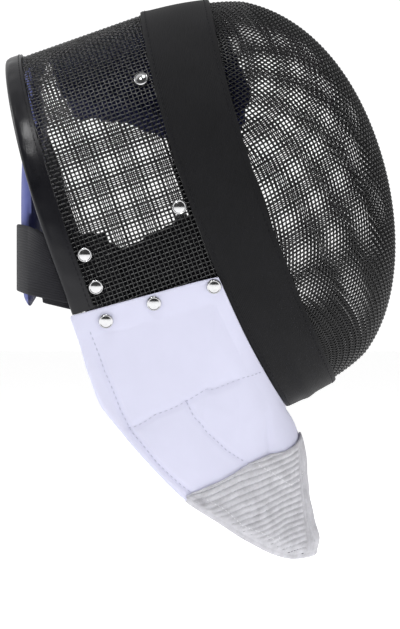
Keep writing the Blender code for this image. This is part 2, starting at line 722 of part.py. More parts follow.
def build_cheek_pad(frame, material, side):
    """A cheek pad: inside the lower side of the basket, its top edge falling at the rear."""
    along = np.array([0.0, 0.06, 0.15, 0.24, 0.36, 0.52, 0.70, 0.85, 0.94, 1.0])
    rear = -BASKET_DEPTH_SIDE + CHEEK_PAD_INSET
    depth = rear + (-CHEEK_PAD_FRONT - rear) * along
    fall = smooth_through(CHEEK_PAD_ROWS, "along", "fall", along)
    top = CHEEK_PAD_TOP + (CHEEK_PAD_FOOT - CHEEK_PAD_TOP) * fall
    down = np.array([0.0, 0.09, 0.30, 0.65, 0.91, 1.0])
    height = top[:, None] + (CHEEK_PAD_FOOT - top)[:, None] * down[None, :]
    outer = side_point(np.repeat(depth[:, None], len(down), axis=1), height, CHEEK_PAD_FACE)
    inner = padded(outer, CHEEK_PAD_THICKNESS)
    flip = np.array([1.0, 1.0 if side == "left" else -1.0, 1.0])
    vertices, faces = slab(outer * flip, inner * flip)
    return add_object("cheek_pad_" + side, vertices, faces, material, frame)


def rivet_depth(angle, share):
    """Depth of a rivet between the band's rear edge and the binding's front edge, clear of both."""
    front = band_middle(angle) - band_width(angle) / 2 - RIVET_RADIUS - CLEARANCE
    rear = rear_depth(angle) + binding_width(angle) + RIVET_RADIUS + CLEARANCE
    return front + (rear - front) * share


def rivet_places():
    """Name, seat, outward direction and length of grip of every rivet, both sides."""
    grips = {
        "mesh": (0.0, MESH_WALL),
        "anchor": (0.0, -ANCHOR_BACK),
        "bib": (BIB_FACE, BIB_FACE + MESH_WALL),
    }
    places = []
    for number, row in enumerate(RIVET_ROWS, start=1):
        growth, grip = grips[row["holds"]]
        height = np.array(RIM_HALF_HEIGHT * row["height"])
        depth = rivet_depth(angle_at_height(height), row["depth"])
        seat = side_point(depth, height, growth)
        rise = side_point(depth, height + RIVET_STEP, growth) - seat
        outward = Vector((0.0, float(rise[2]), float(-rise[1]))).normalized()
        for side, sign in (("left", 1.0), ("right", -1.0)):
            flip = Vector((1.0, sign, 1.0))
            places.append((f"rivet_{side}_{number}", Vector(seat) * flip, outward * flip, grip,
                           row["holds"]))
    return places


def turned(profile, sides):
    """Vertices and faces of a profile of radius and height pairs turned round +Z."""
    angle = np.linspace(0.0, 2.0 * math.pi, sides, endpoint=False)
    rings = np.array([[(radius * math.cos(a), radius * math.sin(a), height) for a in angle]
                      for radius, height in profile])
    return spun_shell(rings)


def rivet_matrix(seat, outward):
    """Place of a rivet: its own +Z along the wall's outward direction."""
    return Matrix.Translation(seat) @ outward.to_track_quat("Z", "Y").to_matrix().to_4x4()


def build_rivet(frame, material, place):
    """A rivet: a dome outside, a shank through the wall and a flat foot inside."""
    name, seat, outward, grip, _ = place
    foot = -(grip + RIVET_EASE)
    head = [(row["radius"] * RIVET_RADIUS, CLEARANCE + row["rise"] * RIVET_DOME)
            for row in RIVET_DOME_ROWS]
    stem = [
        (RIVET_SHANK_RADIUS, CLEARANCE), (RIVET_SHANK_RADIUS, foot),
        (RIVET_FOOT_RADIUS, foot), (RIVET_FOOT_RADIUS, foot - RIVET_FOOT),
        (0.0, foot - RIVET_FOOT),
    ]
    profile = head + stem
    vertices, faces = turned(profile, RIVET_SIDES)
    piece = add_object(name, vertices, faces, material, frame)
    piece.matrix_local = rivet_matrix(seat, outward)
    return piece


def build_hole_cutter(frame, holds):
    """Pins that cut the rivets' holes with their clearance, for the rivets that hold a piece."""
    vertices, faces = [], []
    radius = RIVET_SHANK_RADIUS + CLEARANCE
    reach = HOLE_REACH
    for _, seat, outward, _, holding in rivet_places():
        if holding not in holds:
            continue
        pin = ((0.0, reach), (radius, reach), (radius, -reach), (0.0, -reach))
        points, sides = turned(pin, RIVET_SIDES)
        place = rivet_matrix(seat, outward)
        first = len(vertices)
        vertices += [tuple(place @ Vector(point)) for point in points]
        faces += [tuple(first + corner for corner in side) for side in sides]
    cutter = add_object("hole_cutter_" + "_".join(holds), vertices, faces, None, frame)
    cutter.hide_render = True
    cutter.display_type = "WIRE"
    return cutter


def cut_holes(piece, cutter):
    """Cut a piece with the rivets' hole cutter."""
    cut = piece.modifiers.new("rivet_holes", "BOOLEAN")
    cut.operation = "DIFFERENCE"
    cut.solver = "EXACT"
    cut.object = cutter


def build_frame():
    """The empty that leans the mask back and puts the head's seat at the world's origin."""
    frame = bpy.data.objects.new("mask_frame", None)
    bpy.context.collection.objects.link(frame)
    lean = Matrix.Rotation(-LEAN, 4, "Y")
    seat = lean @ Vector((-SEAT_DEPTH, 0.0, SEAT_HEIGHT))
    frame.matrix_world = Matrix.Translation(-seat) @ lean
    return frame


def main():
    """Build every piece of the mask."""
    for old in list(bpy.data.objects):
        bpy.data.objects.remove(old, do_unlink=True)
    wire = make_material("black_wire", (0.020, 0.020, 0.022), 0.45, 0.4)
    satin = make_material("black_satin", (0.020, 0.020, 0.024), 0.42)
    binding = make_material("black_binding", (0.016, 0.016, 0.020), 0.22)
    white = make_material("white_cloth", (0.72, 0.72, 0.80), 0.85)
    lame = make_material("grey_lame", (0.55, 0.55, 0.58), 0.48, 0.4)
    chrome = make_material("chrome", (0.75, 0.75, 0.77), 0.15, 1.0)
    blue = make_material("blue_cloth", (0.10, 0.12, 0.42), 0.70)
    elastic = make_material("black_elastic", (0.035, 0.035, 0.042), 0.80)
    navy = make_material("navy_pad", (0.012, 0.014, 0.050), 0.80)
    black = make_material("black_pad", (0.012, 0.012, 0.015), 0.80)
    frame = build_frame()
    basket_holes = build_hole_cutter(frame, ("mesh", "anchor", "bib"))
    bib_holes = build_hole_cutter(frame, ("bib",))
    anchor_holes = build_hole_cutter(frame, ("anchor",))
    build_face_mesh(frame, wire)
    build_side_mesh(frame, wire, basket_holes)
    build_trim_band(frame, satin)
    build_rear_edge_binding(frame, binding)
    build_bib(frame, white, bib_holes)
    build_bib_patch(frame, lame)
    build_tongue(frame, blue)
    build_rear_strap(frame, elastic)
    build_crown_pad(frame, navy)
    for side in ("right", "left"):
        build_strap_anchor(frame, elastic, side, anchor_holes)
        build_cheek_pad(frame, black, side)
    for place in rivet_places():
        build_rivet(frame, chrome, place)
    bpy.context.view_layer.update()


main()
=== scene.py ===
"""Foil fencing mask, dressed for the render: woven wire, satin band, padded bib and fittings.

Shapes are worked out in the mask's own frame, in metres: depth runs forward from the rim plane,
lateral to the wearer's left and height up the face. Growth is how far a surface lies outside the
wire mesh's outer face. Finished points are leaned back into the world frame, whose origin is the
point of the crown pad that the top of the head meets.
"""
from __future__ import annotations

import logging
import math
from dataclasses import dataclass, field
from enum import Enum
from typing import Any, Sequence

import bpy
import numpy as np
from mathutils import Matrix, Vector


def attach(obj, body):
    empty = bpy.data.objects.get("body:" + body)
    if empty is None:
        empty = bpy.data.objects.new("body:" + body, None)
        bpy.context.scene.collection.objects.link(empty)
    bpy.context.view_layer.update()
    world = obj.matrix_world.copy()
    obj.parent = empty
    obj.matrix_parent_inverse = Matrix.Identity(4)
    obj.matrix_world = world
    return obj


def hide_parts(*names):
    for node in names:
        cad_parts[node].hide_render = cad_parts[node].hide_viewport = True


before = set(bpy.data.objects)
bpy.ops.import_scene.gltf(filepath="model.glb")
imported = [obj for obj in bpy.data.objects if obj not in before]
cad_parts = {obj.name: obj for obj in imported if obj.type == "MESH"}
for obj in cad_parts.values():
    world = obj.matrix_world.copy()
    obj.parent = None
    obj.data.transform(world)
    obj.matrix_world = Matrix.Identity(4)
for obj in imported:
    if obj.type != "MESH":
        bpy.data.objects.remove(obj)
LOG = logging.getLogger("mask")
Array = np.ndarray


class Side(Enum):
    """The wearer's two sides, with the sign of the lateral axis."""

    LEFT = 1.0
    RIGHT = -1.0

    @property
    def word(self) -> str:
        """Lower-case name used in node names."""
        return self.name.lower()


class Held(Enum):
    HUNG = "hung"
    STRETCHED = "stretched"
    FOLDED = "folded"
    LAID = "laid"


def signed_power(values: Array, power: float) -> Array:
    """Raise the size of each value to a power and keep its sign."""
    return np.sign(values) * np.abs(values) ** power


def smooth_through(rows: Sequence[tuple[float, float]], places: Array) -> Array:
    """Read a smooth monotone curve through table rows at the given places.

    Between two rows the curve is a cubic whose slope at each row is the harmonic mean of the
    slopes on either side of it, and 0 where they differ in sign.

    Args:
        rows: Pairs of place and value, in rising order of place.
        places: Where the curve is read.

    Returns:
        The curve's value at each place.
    """
    x, y = np.array(rows, dtype=float).T
    step = np.diff(x)
    slope = np.diff(y) / step
    total = slope[:-1] + slope[1:]
    agree = slope[:-1] * slope[1:] > 0.0
    inner = np.where(agree, 2.0 * slope[:-1] * slope[1:] / np.where(total == 0.0, 1.0, total), 0.0)
    tangent = np.concatenate([slope[:1], inner, slope[-1:]])
    places = np.clip(places, x[0], x[-1])
    cell = np.clip(np.searchsorted(x, places, side="right") - 1, 0, len(step) - 1)
    t = (places - x[cell]) / step[cell]
    first = (1 + 2 * t) * (1 - t) ** 2 * y[cell] + t * (1 - t) ** 2 * step[cell] * tangent[cell]
    last = t * t * (3 - 2 * t) * y[cell + 1] + t * t * (t - 1) * step[cell] * tangent[cell + 1]
    return first + last


def unit(vectors: Array) -> Array:
    """Scale vectors to length 1."""
    return vectors / np.maximum(np.linalg.norm(vectors, axis=-1, keepdims=True), 1e-12)


def grid_normals(points: Array) -> Array:
    """Unit normals of a grid of points: the cross product of its steps along rows and columns."""
    return unit(np.cross(np.gradient(points, axis=0), np.gradient(points, axis=1)))


def bump(distance: Array, width: float) -> Array:
    """Gaussian bell: 1 at distance 0, falling away over the given width."""
    return np.exp(-(distance / width) ** 2)


def ripple(first: Array, second: Array, seed: int, waves: int = 7) -> Array:
    """Smooth, repeatable unevenness between about -1 and 1.

    It is the mean of a few sine waves whose directions, lengths and phases come from a seeded
    generator, over two coordinates in wave units.

    Args:
        first: First coordinate of each point.
        second: Second coordinate of each point.
        seed: Seed of the generator.
        waves: How many sine waves are added.

    Returns:
        The unevenness at each point.
    """
    generator = np.random.default_rng(seed)
    total = np.zeros(np.broadcast(first, second).shape)
    for _ in range(waves):
        turn, phase = generator.uniform(0.0, 2.0 * math.pi, 2)
        rate = generator.uniform(0.6, 1.7)
        total = total + np.sin(rate * (math.cos(turn) * first + math.sin(turn) * second) + phase)
    return total / math.sqrt(waves)


def distance_to_path(points: Array, path: Array) -> Array:
    """Shortest distance from each point to a path of straight steps.

    Args:
        points: Any array of points.
        path: Points of the path, one a row.

    Returns:
        One distance for each point.
    """
    start, step = path[:-1], np.diff(path, axis=0)
    square = np.maximum(np.sum(step * step, axis=-1), 1e-18)
    away = points[..., None, :] - start
    share = np.clip(np.sum(away * step, axis=-1) / square, 0.0, 1.0)
    return np.linalg.norm(away - share[..., None] * step, axis=-1).min(axis=-1)


@dataclass(frozen=True)
class Shell:
    """Sizes and formulas of the mask's shell, its band and its rear edge."""

    lean: float = math.radians(19.5)
    half_height: float = 0.143
    half_width: float = 0.100
    power: float = 2.15
    egg: float = 0.08
    dome_depth: float = 0.0995
    dome_start: float = 0.025
    dome_power: float = 2.7
    dome_pinch: float = 0.020
    dome_pinch_end: float = 0.55
    dome_lift: float = 0.009
    wall: float = 0.0020
    clearance: float = 0.0003
    rear_top: float = 0.120
    rear_side: float = 0.131
    band_setback_top: float = 0.0015
    band_setback_side: float = 0.0150
    band_width_top: float = 0.047
    band_width_chin: float = 0.038
    band_web: float = 0.0030
    seat_depth: float = 0.012
    seat_below_rim: float = 0.0166

    def to_world(self, points: Array) -> Array:
        """Lean points of the mask's frame back and put the head's seat at the origin."""
        cosine, sine = math.cos(self.lean), math.sin(self.lean)
        turn = np.array([[cosine, 0.0, -sine], [0.0, 1.0, 0.0], [sine, 0.0, cosine]])
        seat = np.array([-self.seat_depth, 0.0, self.half_height - self.seat_below_rim])
        return (points - seat) @ turn.T

    def share(self, depth: Array, growth: float = 0.0) -> Array:
        """Size of the section at a depth, as a share of the rim's: it closes over the dome."""
        reach = np.clip((depth + self.dome_start) / (self.dome_depth + growth + self.dome_start),
                        0.0, 1.0)
        pinch = np.clip(reach / self.dome_pinch_end, 0.0, 1.0)
        return np.sqrt(1.0 - reach ** self.dome_power) - 4.0 * self.dome_pinch * pinch * (1 - pinch)

    def lift(self, depth: Array) -> Array:
        """Rise of the section's middle towards the dome's pole."""
        return self.dome_lift * np.clip(depth / self.dome_depth, 0.0, 1.0) ** 3

    def point(self, angle: Array, depth: Array, growth: Array | float = 0.0) -> Array:
        """Point of the shell at an angle round its section, a depth and a growth.

        The section is an egg-shaped superellipse: height and width are signed powers of the
        sine and cosine of the angle, times the section's share at that depth.
        """
        sine = signed_power(np.sin(angle), 2.0 / self.power)
        cosine = signed_power(np.cos(angle), 2.0 / self.power)
        share = self.share(depth, growth)
        height = share * sine * (self.half_height + growth) + self.lift(depth)
        width = share * cosine * (self.half_width + growth) * (1.0 + self.egg * share * sine)
        return np.stack(np.broadcast_arrays(depth, width, height), axis=-1)

    def angle_at_height(self, height: Array, growth: Array | float = 0.0) -> Array:
        """Angle on the left side of the rim section at which it reaches a height."""
        share = height / (self.half_height + growth)
        return np.arcsin(np.clip(signed_power(share, self.power / 2.0), -1.0, 1.0))

    def side_point(self, depth: Array, height: Array, growth: Array | float) -> Array:
        """Point on the basket's left wall at a depth and a height."""
        return self.point(self.angle_at_height(height, growth), depth, growth)

    def level(self, points: Array, growth: float) -> Array:
        """Function that is 0 on the shell, negative inside and positive outside.

        It is the squared superellipse radius of the point, in shares of the rim's half sizes,
        less the square of the section's share at its depth.
        """
        depth, width, height = np.moveaxis(points, -1, 0)
        tall = (height - self.lift(depth)) / (self.half_height + growth)
        wide = width / ((self.half_width + growth) * (1.0 + self.egg * tall))
        radius = (np.abs(tall) ** self.power + np.abs(wide) ** self.power) ** (1.0 / self.power)
        reach = np.maximum((depth + self.dome_start)
                           / (self.dome_depth + growth + self.dome_start), 0.0)
        pinch = np.clip(reach / self.dome_pinch_end, 0.0, 1.0)
        dent = 4.0 * self.dome_pinch * pinch * (1.0 - pinch)
        closing = 1.0 - reach ** self.dome_power
        size = closing - 2.0 * dent * np.sqrt(np.maximum(closing, 0.0)) + dent * dent
        return radius * radius - size

    def slope(self, points: Array, growth: float) -> Array:
        """Gradient of the level function, by central differences along the three axes."""
        step = 1e-5
        moves = step * np.eye(3)
        return np.stack([(self.level(points + move, growth) - self.level(points - move, growth))
                         / (2.0 * step) for move in moves], axis=-1)

    def angle_of(self, points: Array, growth: float) -> Array:
        """Angle round the section at which a point of the shell lies."""
        depth, width, height = np.moveaxis(points, -1, 0)
        tall = (height - self.lift(depth)) / (self.half_height + growth)
        wide = width / ((self.half_width + growth) * (1.0 + self.egg * tall))
        return np.arctan2(signed_power(tall, self.power / 2.0), signed_power(wide, self.power / 2.0))

    def band_middle(self, angle: Array) -> Array:
        """Depth of the band's middle line, further back at the sides than at crown and chin."""
        side = np.cos(angle) ** 2
        return -(self.band_setback_top + (self.band_setback_side - self.band_setback_top) * side)

    def band_width(self, angle: Array) -> Array:
        """Width of the band, which narrows towards the chin."""
        low = ((1.0 - np.sin(angle)) / 2.0) ** 3
        return self.band_width_top - (self.band_width_top - self.band_width_chin) * low

    def rear_depth(self, angle: Array) -> Array:
        """Depth of the basket's rear edge, cut back less at the crown than at the sides."""
        crown = np.clip(np.sin(angle), 0.0, 1.0) ** 2
        return -(self.rear_side - (self.rear_side - self.rear_top) * crown)


SHELL = Shell()


class Nodes:
    """A node tree being filled, with short ways to add nodes and join them."""

    def __init__(self, tree: bpy.types.NodeTree) -> None:
        """Take the tree that the nodes go into."""
        self.tree = tree

    def put(self, kind: str, inputs: dict[Any, Any] | None = None, **settings: Any) -> Any:
        """Add a node, set its options and fill its inputs with links or plain values.

        Args:
            kind: Blender's name of the node type.
            inputs: Input name or number, with the socket or value that goes in.
            settings: Options of the node.

        Returns:
            The new node.
        """
        node = self.tree.nodes.new(kind)
        for name, value in settings.items():
            setattr(node, name, value)
        for name, value in (inputs or {}).items():
            if isinstance(value, bpy.types.NodeSocket):
                self.tree.links.new(value, node.inputs[name])
            else:
                node.inputs[name].default_value = value
        return node

    def math(self, operation: str, first: Any, second: Any = 0.0) -> Any:
        """Socket of a sum, product or other function of two values."""
        return self.put("ShaderNodeMath", {0: first, 1: second}, operation=operation).outputs[0]

    def mix(self, share: Any, first: Any, second: Any) -> Any:
        """Socket of a colour mixed from two by a share."""
        node = self.put("ShaderNodeMix", data_type="RGBA")
        for name, value in (("Factor", share), ("A", first), ("B", second)):
            kind = "VALUE" if name == "Factor" else "RGBA"
            socket = next(s for s in node.inputs if s.name == name and s.type == kind)
            if isinstance(value, bpy.types.NodeSocket):
                self.tree.links.new(value, socket)
            else:
                socket.default_value = value
        return next(s for s in node.outputs if s.type == "RGBA")

    def spread(self, value: Any, low: float, high: float) -> Any:
        """Socket of a value from 0 to 1 stretched between two ends."""
        node = self.put("ShaderNodeMapRange", {"Value": value, "To Min": low, "To Max": high})
        return node.outputs["Result"]


def new_group(name: str, inputs: Sequence[tuple[str, str, Any]],
              outputs: Sequence[tuple[str, str]]) -> tuple[Nodes, Any, Any]:
    """Start a shader node group with named sockets.

    Args:
        name: Name of the group.
        inputs: Name, socket type and default of each input.
        outputs: Name and socket type of each output.

    Returns:
        The group's nodes, its input node and its output node.
    """
    tree = bpy.data.node_groups.new(name, "ShaderNodeTree")
    for label, kind, value in inputs:
        socket = tree.interface.new_socket(label, in_out="INPUT", socket_type=kind)
        if value is not None:
            socket.default_value = value
    for label, kind in outputs:
        tree.interface.new_socket(label, in_out="OUTPUT", socket_type=kind)
    nodes = Nodes(tree)
    return nodes, nodes.put("NodeGroupInput"), nodes.put("NodeGroupOutput")


def weave_group() -> bpy.types.NodeTree:
    """Plain weave: threads both ways whose heights are sine waves, over one and under the next."""
    nodes, take, give = new_group(
        "plain_weave",
        [("Vector", "NodeSocketVector", None), ("Pitch Along", "NodeSocketFloat", 0.001),
         ("Pitch Across", "NodeSocketFloat", 0.001)],
        [("Height", "NodeSocketFloat"), ("Gap", "NodeSocketFloat")])
    parts = nodes.put("ShaderNodeSeparateXYZ", {"Vector": take.outputs["Vector"]})
    waves = []
    for axis, pitch in (("X", "Pitch Along"), ("Y", "Pitch Across")):
        turns = nodes.math("DIVIDE", parts.outputs[axis], take.outputs[pitch])
        waves.append(nodes.math("SINE", nodes.math("MULTIPLY", turns, math.pi)))
    over = nodes.math("MULTIPLY", waves[0], waves[1])
    thread = [nodes.math("ABSOLUTE", wave) for wave in waves]
    crown = nodes.math("MAXIMUM", thread[0], thread[1])
    height = nodes.math("ADD", nodes.math("MULTIPLY", crown, 0.6),
                        nodes.math("MULTIPLY", nodes.math("ABSOLUTE", over), 0.4))
    nodes.tree.links.new(height, give.inputs["Height"])
    nodes.tree.links.new(nodes.math("SUBTRACT", 1.0, height), give.inputs["Gap"])
    return nodes.tree


def ribs_group() -> bpy.types.NodeTree:
    """Ribs along a strip: a sine wave across it, made uneven by noise along it."""
    nodes, take, give = new_group(
        "ribs",
        [("Vector", "NodeSocketVector", None), ("Pitch", "NodeSocketFloat", 0.001),
         ("Unevenness", "NodeSocketFloat", 0.3)],
        [("Height", "NodeSocketFloat")])
    parts = nodes.put("ShaderNodeSeparateXYZ", {"Vector": take.outputs["Vector"]})
    noise = nodes.put("ShaderNodeTexNoise", {"Vector": take.outputs["Vector"], "Scale": 260.0,
                                             "Detail": 2.0})
    turns = nodes.math("DIVIDE", parts.outputs["Y"], take.outputs["Pitch"])
    wave = nodes.math("SINE", nodes.math("MULTIPLY", turns, 2.0 * math.pi))
    uneven = nodes.math("MULTIPLY", nodes.math("SUBTRACT", noise.outputs["Fac"], 0.5),
                        take.outputs["Unevenness"])
    height = nodes.math("ADD", nodes.math("ADD", nodes.math("MULTIPLY", wave, 0.5), 0.5), uneven)
    nodes.tree.links.new(height, give.inputs["Height"])
    return nodes.tree


def mottle_group() -> bpy.types.NodeTree:
    """Slow unevenness of colour or gloss: two sizes of noise, added and stretched to 0 to 1."""
    nodes, take, give = new_group(
        "mottle",
        [("Vector", "NodeSocketVector", None), ("Scale", "NodeSocketFloat", 20.0)],
        [("Mask", "NodeSocketFloat")])
    large = nodes.put("ShaderNodeTexNoise", {"Vector": take.outputs["Vector"],
                                             "Scale": take.outputs["Scale"], "Detail": 3.0})
    finer = nodes.math("MULTIPLY", take.outputs["Scale"], 6.0)
    small = nodes.put("ShaderNodeTexNoise", {"Vector": take.outputs["Vector"], "Scale": finer,
                                             "Detail": 2.0})
    total = nodes.math("ADD", nodes.math("MULTIPLY", large.outputs["Fac"], 0.7),
                       nodes.math("MULTIPLY", small.outputs["Fac"], 0.3))
    limits = {"Value": total, "From Min": 0.3, "From Max": 0.7}
    mask = nodes.put("ShaderNodeMapRange", limits).outputs["Result"]
    nodes.tree.links.new(mask, give.inputs["Mask"])
    return nodes.tree


class Effects:
    """The shader node groups that more than one material uses, each built once."""

    def __init__(self) -> None:
        """Build the groups."""
        self.weave = weave_group()
        self.ribs = ribs_group()
        self.mottle = mottle_group()


Colour = tuple[float, float, float]


def solid(colour: Colour) -> tuple[float, float, float, float]:
    """A colour with full alpha."""
    return (*colour, 1.0)


@dataclass(frozen=True)
class Finish:
    """What every finish has: a name, two colours that it moves between, and its gloss."""

    name: str
    colour: Colour
    shade: Colour
    roughness: float
    mottle_scale: float = 22.0

    def start(self) -> tuple[bpy.types.Material, Nodes, Any]:
        """New material with its nodes and its Principled shader."""
        material = bpy.data.materials.new(self.name)
        material.use_nodes = True
        material.diffuse_color = solid(self.colour)
        nodes = Nodes(material.node_tree)
        shader = material.node_tree.nodes["Principled BSDF"]
        shader.inputs["Roughness"].default_value = self.roughness
        return material, nodes, shader

    def tint(self, nodes: Nodes, shader: Any, effects: Effects, vector: Any) -> Any:
        """Join the mottled colour to the shader and return its mask."""
        mottle = nodes.put("ShaderNodeGroup", node_tree=effects.mottle)
        nodes.tree.links.new(vector, mottle.inputs["Vector"])
        mottle.inputs["Scale"].default_value = self.mottle_scale
        mask = mottle.outputs["Mask"]
        colour = nodes.mix(mask, solid(self.shade), solid(self.colour))
        nodes.tree.links.new(colour, shader.inputs["Base Color"])
        return mask

    def emboss(self, nodes: Nodes, shader: Any, height: Any, depth: float) -> None:
        """Join a height in shares of the given depth to the shader's normal."""
        node = nodes.put("ShaderNodeBump", {"Height": height, "Distance": depth, "Strength": 1.0})
        nodes.tree.links.new(node.outputs["Normal"], shader.inputs["Normal"])


@dataclass(frozen=True)
class WireFinish(Finish):
    """Coating on steel wire or twisted thread, glossier in places."""

    specular: float = 0.12

    def build(self, effects: Effects) -> bpy.types.Material:
        """Make the material."""
        material, nodes, shader = self.start()
        place = nodes.put("ShaderNodeTexCoord").outputs["Object"]
        mask = self.tint(nodes, shader, effects, place)
        shader.inputs["Specular IOR Level"].default_value = self.specular
        gloss = nodes.spread(mask, self.roughness * 1.4, self.roughness * 0.7)
        nodes.tree.links.new(gloss, shader.inputs["Roughness"])
        grit = nodes.put("ShaderNodeTexNoise", {"Vector": place, "Scale": 1600.0, "Detail": 2.0})
        self.emboss(nodes, shader, grit.outputs["Fac"], 0.00004)
        return material


@dataclass(frozen=True)
class ClothFinish(Finish):
    """Woven cloth: a plain weave on the piece's own cloth map, with soft unevenness of colour.

    Without a map, as on stuffed pieces, a fine grain takes the place of the weave.
    """

    mapped: bool = True
    pitch_along: float = 0.0007
    pitch_across: float = 0.0007
    weave_depth: float = 0.00008
    grain_scale: float = 1100.0
    sheen: float = 0.05
    metallic: float = 0.0
    specular: float = 0.15

    def build(self, effects: Effects) -> bpy.types.Material:
        """Make the material."""
        material, nodes, shader = self.start()
        place = nodes.put("ShaderNodeTexCoord").outputs["Object"]
        mask = self.tint(nodes, shader, effects, place)
        if self.mapped:
            cloth = nodes.put("ShaderNodeUVMap", uv_map=CLOTH_MAP).outputs["UV"]
            weave = nodes.put("ShaderNodeGroup", node_tree=effects.weave)
            nodes.tree.links.new(cloth, weave.inputs["Vector"])
            weave.inputs["Pitch Along"].default_value = self.pitch_along
            weave.inputs["Pitch Across"].default_value = self.pitch_across
            height = weave.outputs["Height"]
        else:
            grain = {"Vector": place, "Scale": self.grain_scale, "Detail": 3.0}
            height = nodes.put("ShaderNodeTexNoise", grain).outputs["Fac"]
        rough = nodes.spread(mask, self.roughness + 0.06, self.roughness - 0.06)
        nodes.tree.links.new(rough, shader.inputs["Roughness"])
        shader.inputs["Sheen Weight"].default_value = self.sheen
        shader.inputs["Metallic"].default_value = self.metallic
        shader.inputs["Specular IOR Level"].default_value = self.specular
        self.emboss(nodes, shader, height, self.weave_depth)
        return material


@dataclass(frozen=True)
class PaintedShadeClothFinish(ClothFinish):
    """Cloth with painted shade: a dark colour wherever its surface doesn't face backwards, standing
    in for the shade on a pad's sides.
    """

    # inner is the colour of the painted shade on the sides that don't face backwards
    inner: Colour = (0.0, 0.0, 0.0)
    turn_from: float = -0.75
    turn_to: float = -0.45

    def build(self, effects: Effects) -> bpy.types.Material:
        """Make the material."""
        material = super().build(effects)
        nodes = Nodes(material.node_tree)
        shader = material.node_tree.nodes["Principled BSDF"]
        normal = nodes.put("ShaderNodeNewGeometry").outputs["Normal"]
        facing = nodes.put("ShaderNodeSeparateXYZ", {"Vector": normal}).outputs["X"]
        limits = {"Value": facing, "From Min": self.turn_from, "From Max": self.turn_to}
        share = nodes.put("ShaderNodeMapRange", limits).outputs["Result"]
        # Painted shade: the colour turns to the dark inner colour as the surface's normal turns away
        # from facing backwards.
        outer = shader.inputs["Base Color"].links[0].from_socket
        colour = nodes.mix(share, outer, solid(self.inner))
        nodes.tree.links.new(colour, shader.inputs["Base Color"])
        return material


@dataclass(frozen=True)
class RibbedFinish(Finish):
    """Ribbed webbing or ribbon: ribs along the piece's cloth map and a soft sheen."""

    pitch: float = 0.0014
    rib_depth: float = 0.00020
    sheen: float = 0.1
    specular: float = 0.3
    unevenness: float = 0.35

    def build(self, effects: Effects) -> bpy.types.Material:
        """Make the material."""
        material, nodes, shader = self.start()
        place = nodes.put("ShaderNodeTexCoord").outputs["Object"]
        self.tint(nodes, shader, effects, place)
        cloth = nodes.put("ShaderNodeUVMap", uv_map=CLOTH_MAP).outputs["UV"]
        ribs = nodes.put("ShaderNodeGroup", node_tree=effects.ribs)
        nodes.tree.links.new(cloth, ribs.inputs["Vector"])
        ribs.inputs["Pitch"].default_value = self.pitch
        ribs.inputs["Unevenness"].default_value = self.unevenness
        shader.inputs["Sheen Weight"].default_value = self.sheen
        shader.inputs["Specular IOR Level"].default_value = self.specular
        self.emboss(nodes, shader, ribs.outputs["Height"], self.rib_depth)
        return material


@dataclass(frozen=True)
class LeatheretteFinish(Finish):
    """Glossy leather-look plastic: a fine pebbled grain under a clear coat."""

    grain_scale: float = 900.0
    grain_depth: float = 0.00005
    specular: float = 0.25
    coat: float = 0.15

    def build(self, effects: Effects) -> bpy.types.Material:
        """Make the material."""
        material, nodes, shader = self.start()
        place = nodes.put("ShaderNodeTexCoord").outputs["Object"]
        mask = self.tint(nodes, shader, effects, place)
        gloss = nodes.spread(mask, self.roughness + 0.08, self.roughness - 0.05)
        nodes.tree.links.new(gloss, shader.inputs["Roughness"])
        shader.inputs["Coat Weight"].default_value = self.coat
        shader.inputs["Coat Roughness"].default_value = 0.20
        shader.inputs["Specular IOR Level"].default_value = self.specular
        pebble = nodes.put("ShaderNodeTexVoronoi", {"Vector": place, "Scale": self.grain_scale})
        self.emboss(nodes, shader, pebble.outputs["Distance"], self.grain_depth)
        return material


@dataclass(frozen=True)
class MetalFinish(Finish):
    """Polished plated metal with faint rubbing marks."""

    def build(self, effects: Effects) -> bpy.types.Material:
        """Make the material."""
        material, nodes, shader = self.start()
        place = nodes.put("ShaderNodeTexCoord").outputs["Object"]
        mask = self.tint(nodes, shader, effects, place)
        shader.inputs["Metallic"].default_value = 1.0
        gloss = nodes.spread(mask, self.roughness + 0.08, self.roughness)
        nodes.tree.links.new(gloss, shader.inputs["Roughness"])
        rub = nodes.put("ShaderNodeTexNoise", {"Vector": place, "Scale": 2400.0, "Detail": 3.0})
        self.emboss(nodes, shader, rub.outputs["Fac"], 0.000004)
        return material


@dataclass(frozen=True)
class PaperFinish(Finish):
    """Plain pale studio floor, matte and evenly lit from below, with barely visible unevenness."""

    glow: float = 0.56

    def build(self, effects: Effects) -> bpy.types.Material:
        """Make the material."""
        material, nodes, shader = self.start()
        place = nodes.put("ShaderNodeTexCoord").outputs["Object"]
        self.tint(nodes, shader, effects, place)
        shader.inputs["Emission Color"].default_value = solid((1.0, 1.0, 1.0))
        shader.inputs["Emission Strength"].default_value = self.glow
        return material


CLOTH_MAP = "cloth"

WIRE = WireFinish("black_wire", (0.0050, 0.0050, 0.0055), (0.0080, 0.0080, 0.0090), 0.14, 90.0,
                  specular=0.45)
SATIN = RibbedFinish("black_satin", (0.0110, 0.0110, 0.0120), (0.0145, 0.0145, 0.0160), 0.60, 30.0,
                     pitch=0.0011, rib_depth=0.00012, sheen=0.02, specular=0.10)
LEATHERETTE = LeatheretteFinish("black_binding", (0.006, 0.006, 0.008), (0.011, 0.011, 0.014), 0.30)
PADDED_CLOTH = ClothFinish("white_cloth", (0.740, 0.742, 0.905), (0.705, 0.708, 0.865), 0.85, 14.0,
                           sheen=0.05)
LAME = ClothFinish("grey_lame", (0.70, 0.695, 0.74), (0.50, 0.495, 0.53), 0.55, 160.0,
                   pitch_along=0.0009, pitch_across=0.0009, weave_depth=0.00016, sheen=0.0,
                   metallic=0.25, specular=0.4)
# The tongue's sides that don't face backwards get painted shade, the dark inner colour.
BLUE_CLOTH = PaintedShadeClothFinish("blue_cloth", (0.110, 0.130, 0.36), (0.075, 0.092, 0.29), 0.62, 30.0,
                            mapped=False, weave_depth=0.00010, sheen=0.10,
                            inner=(0.012, 0.013, 0.050))
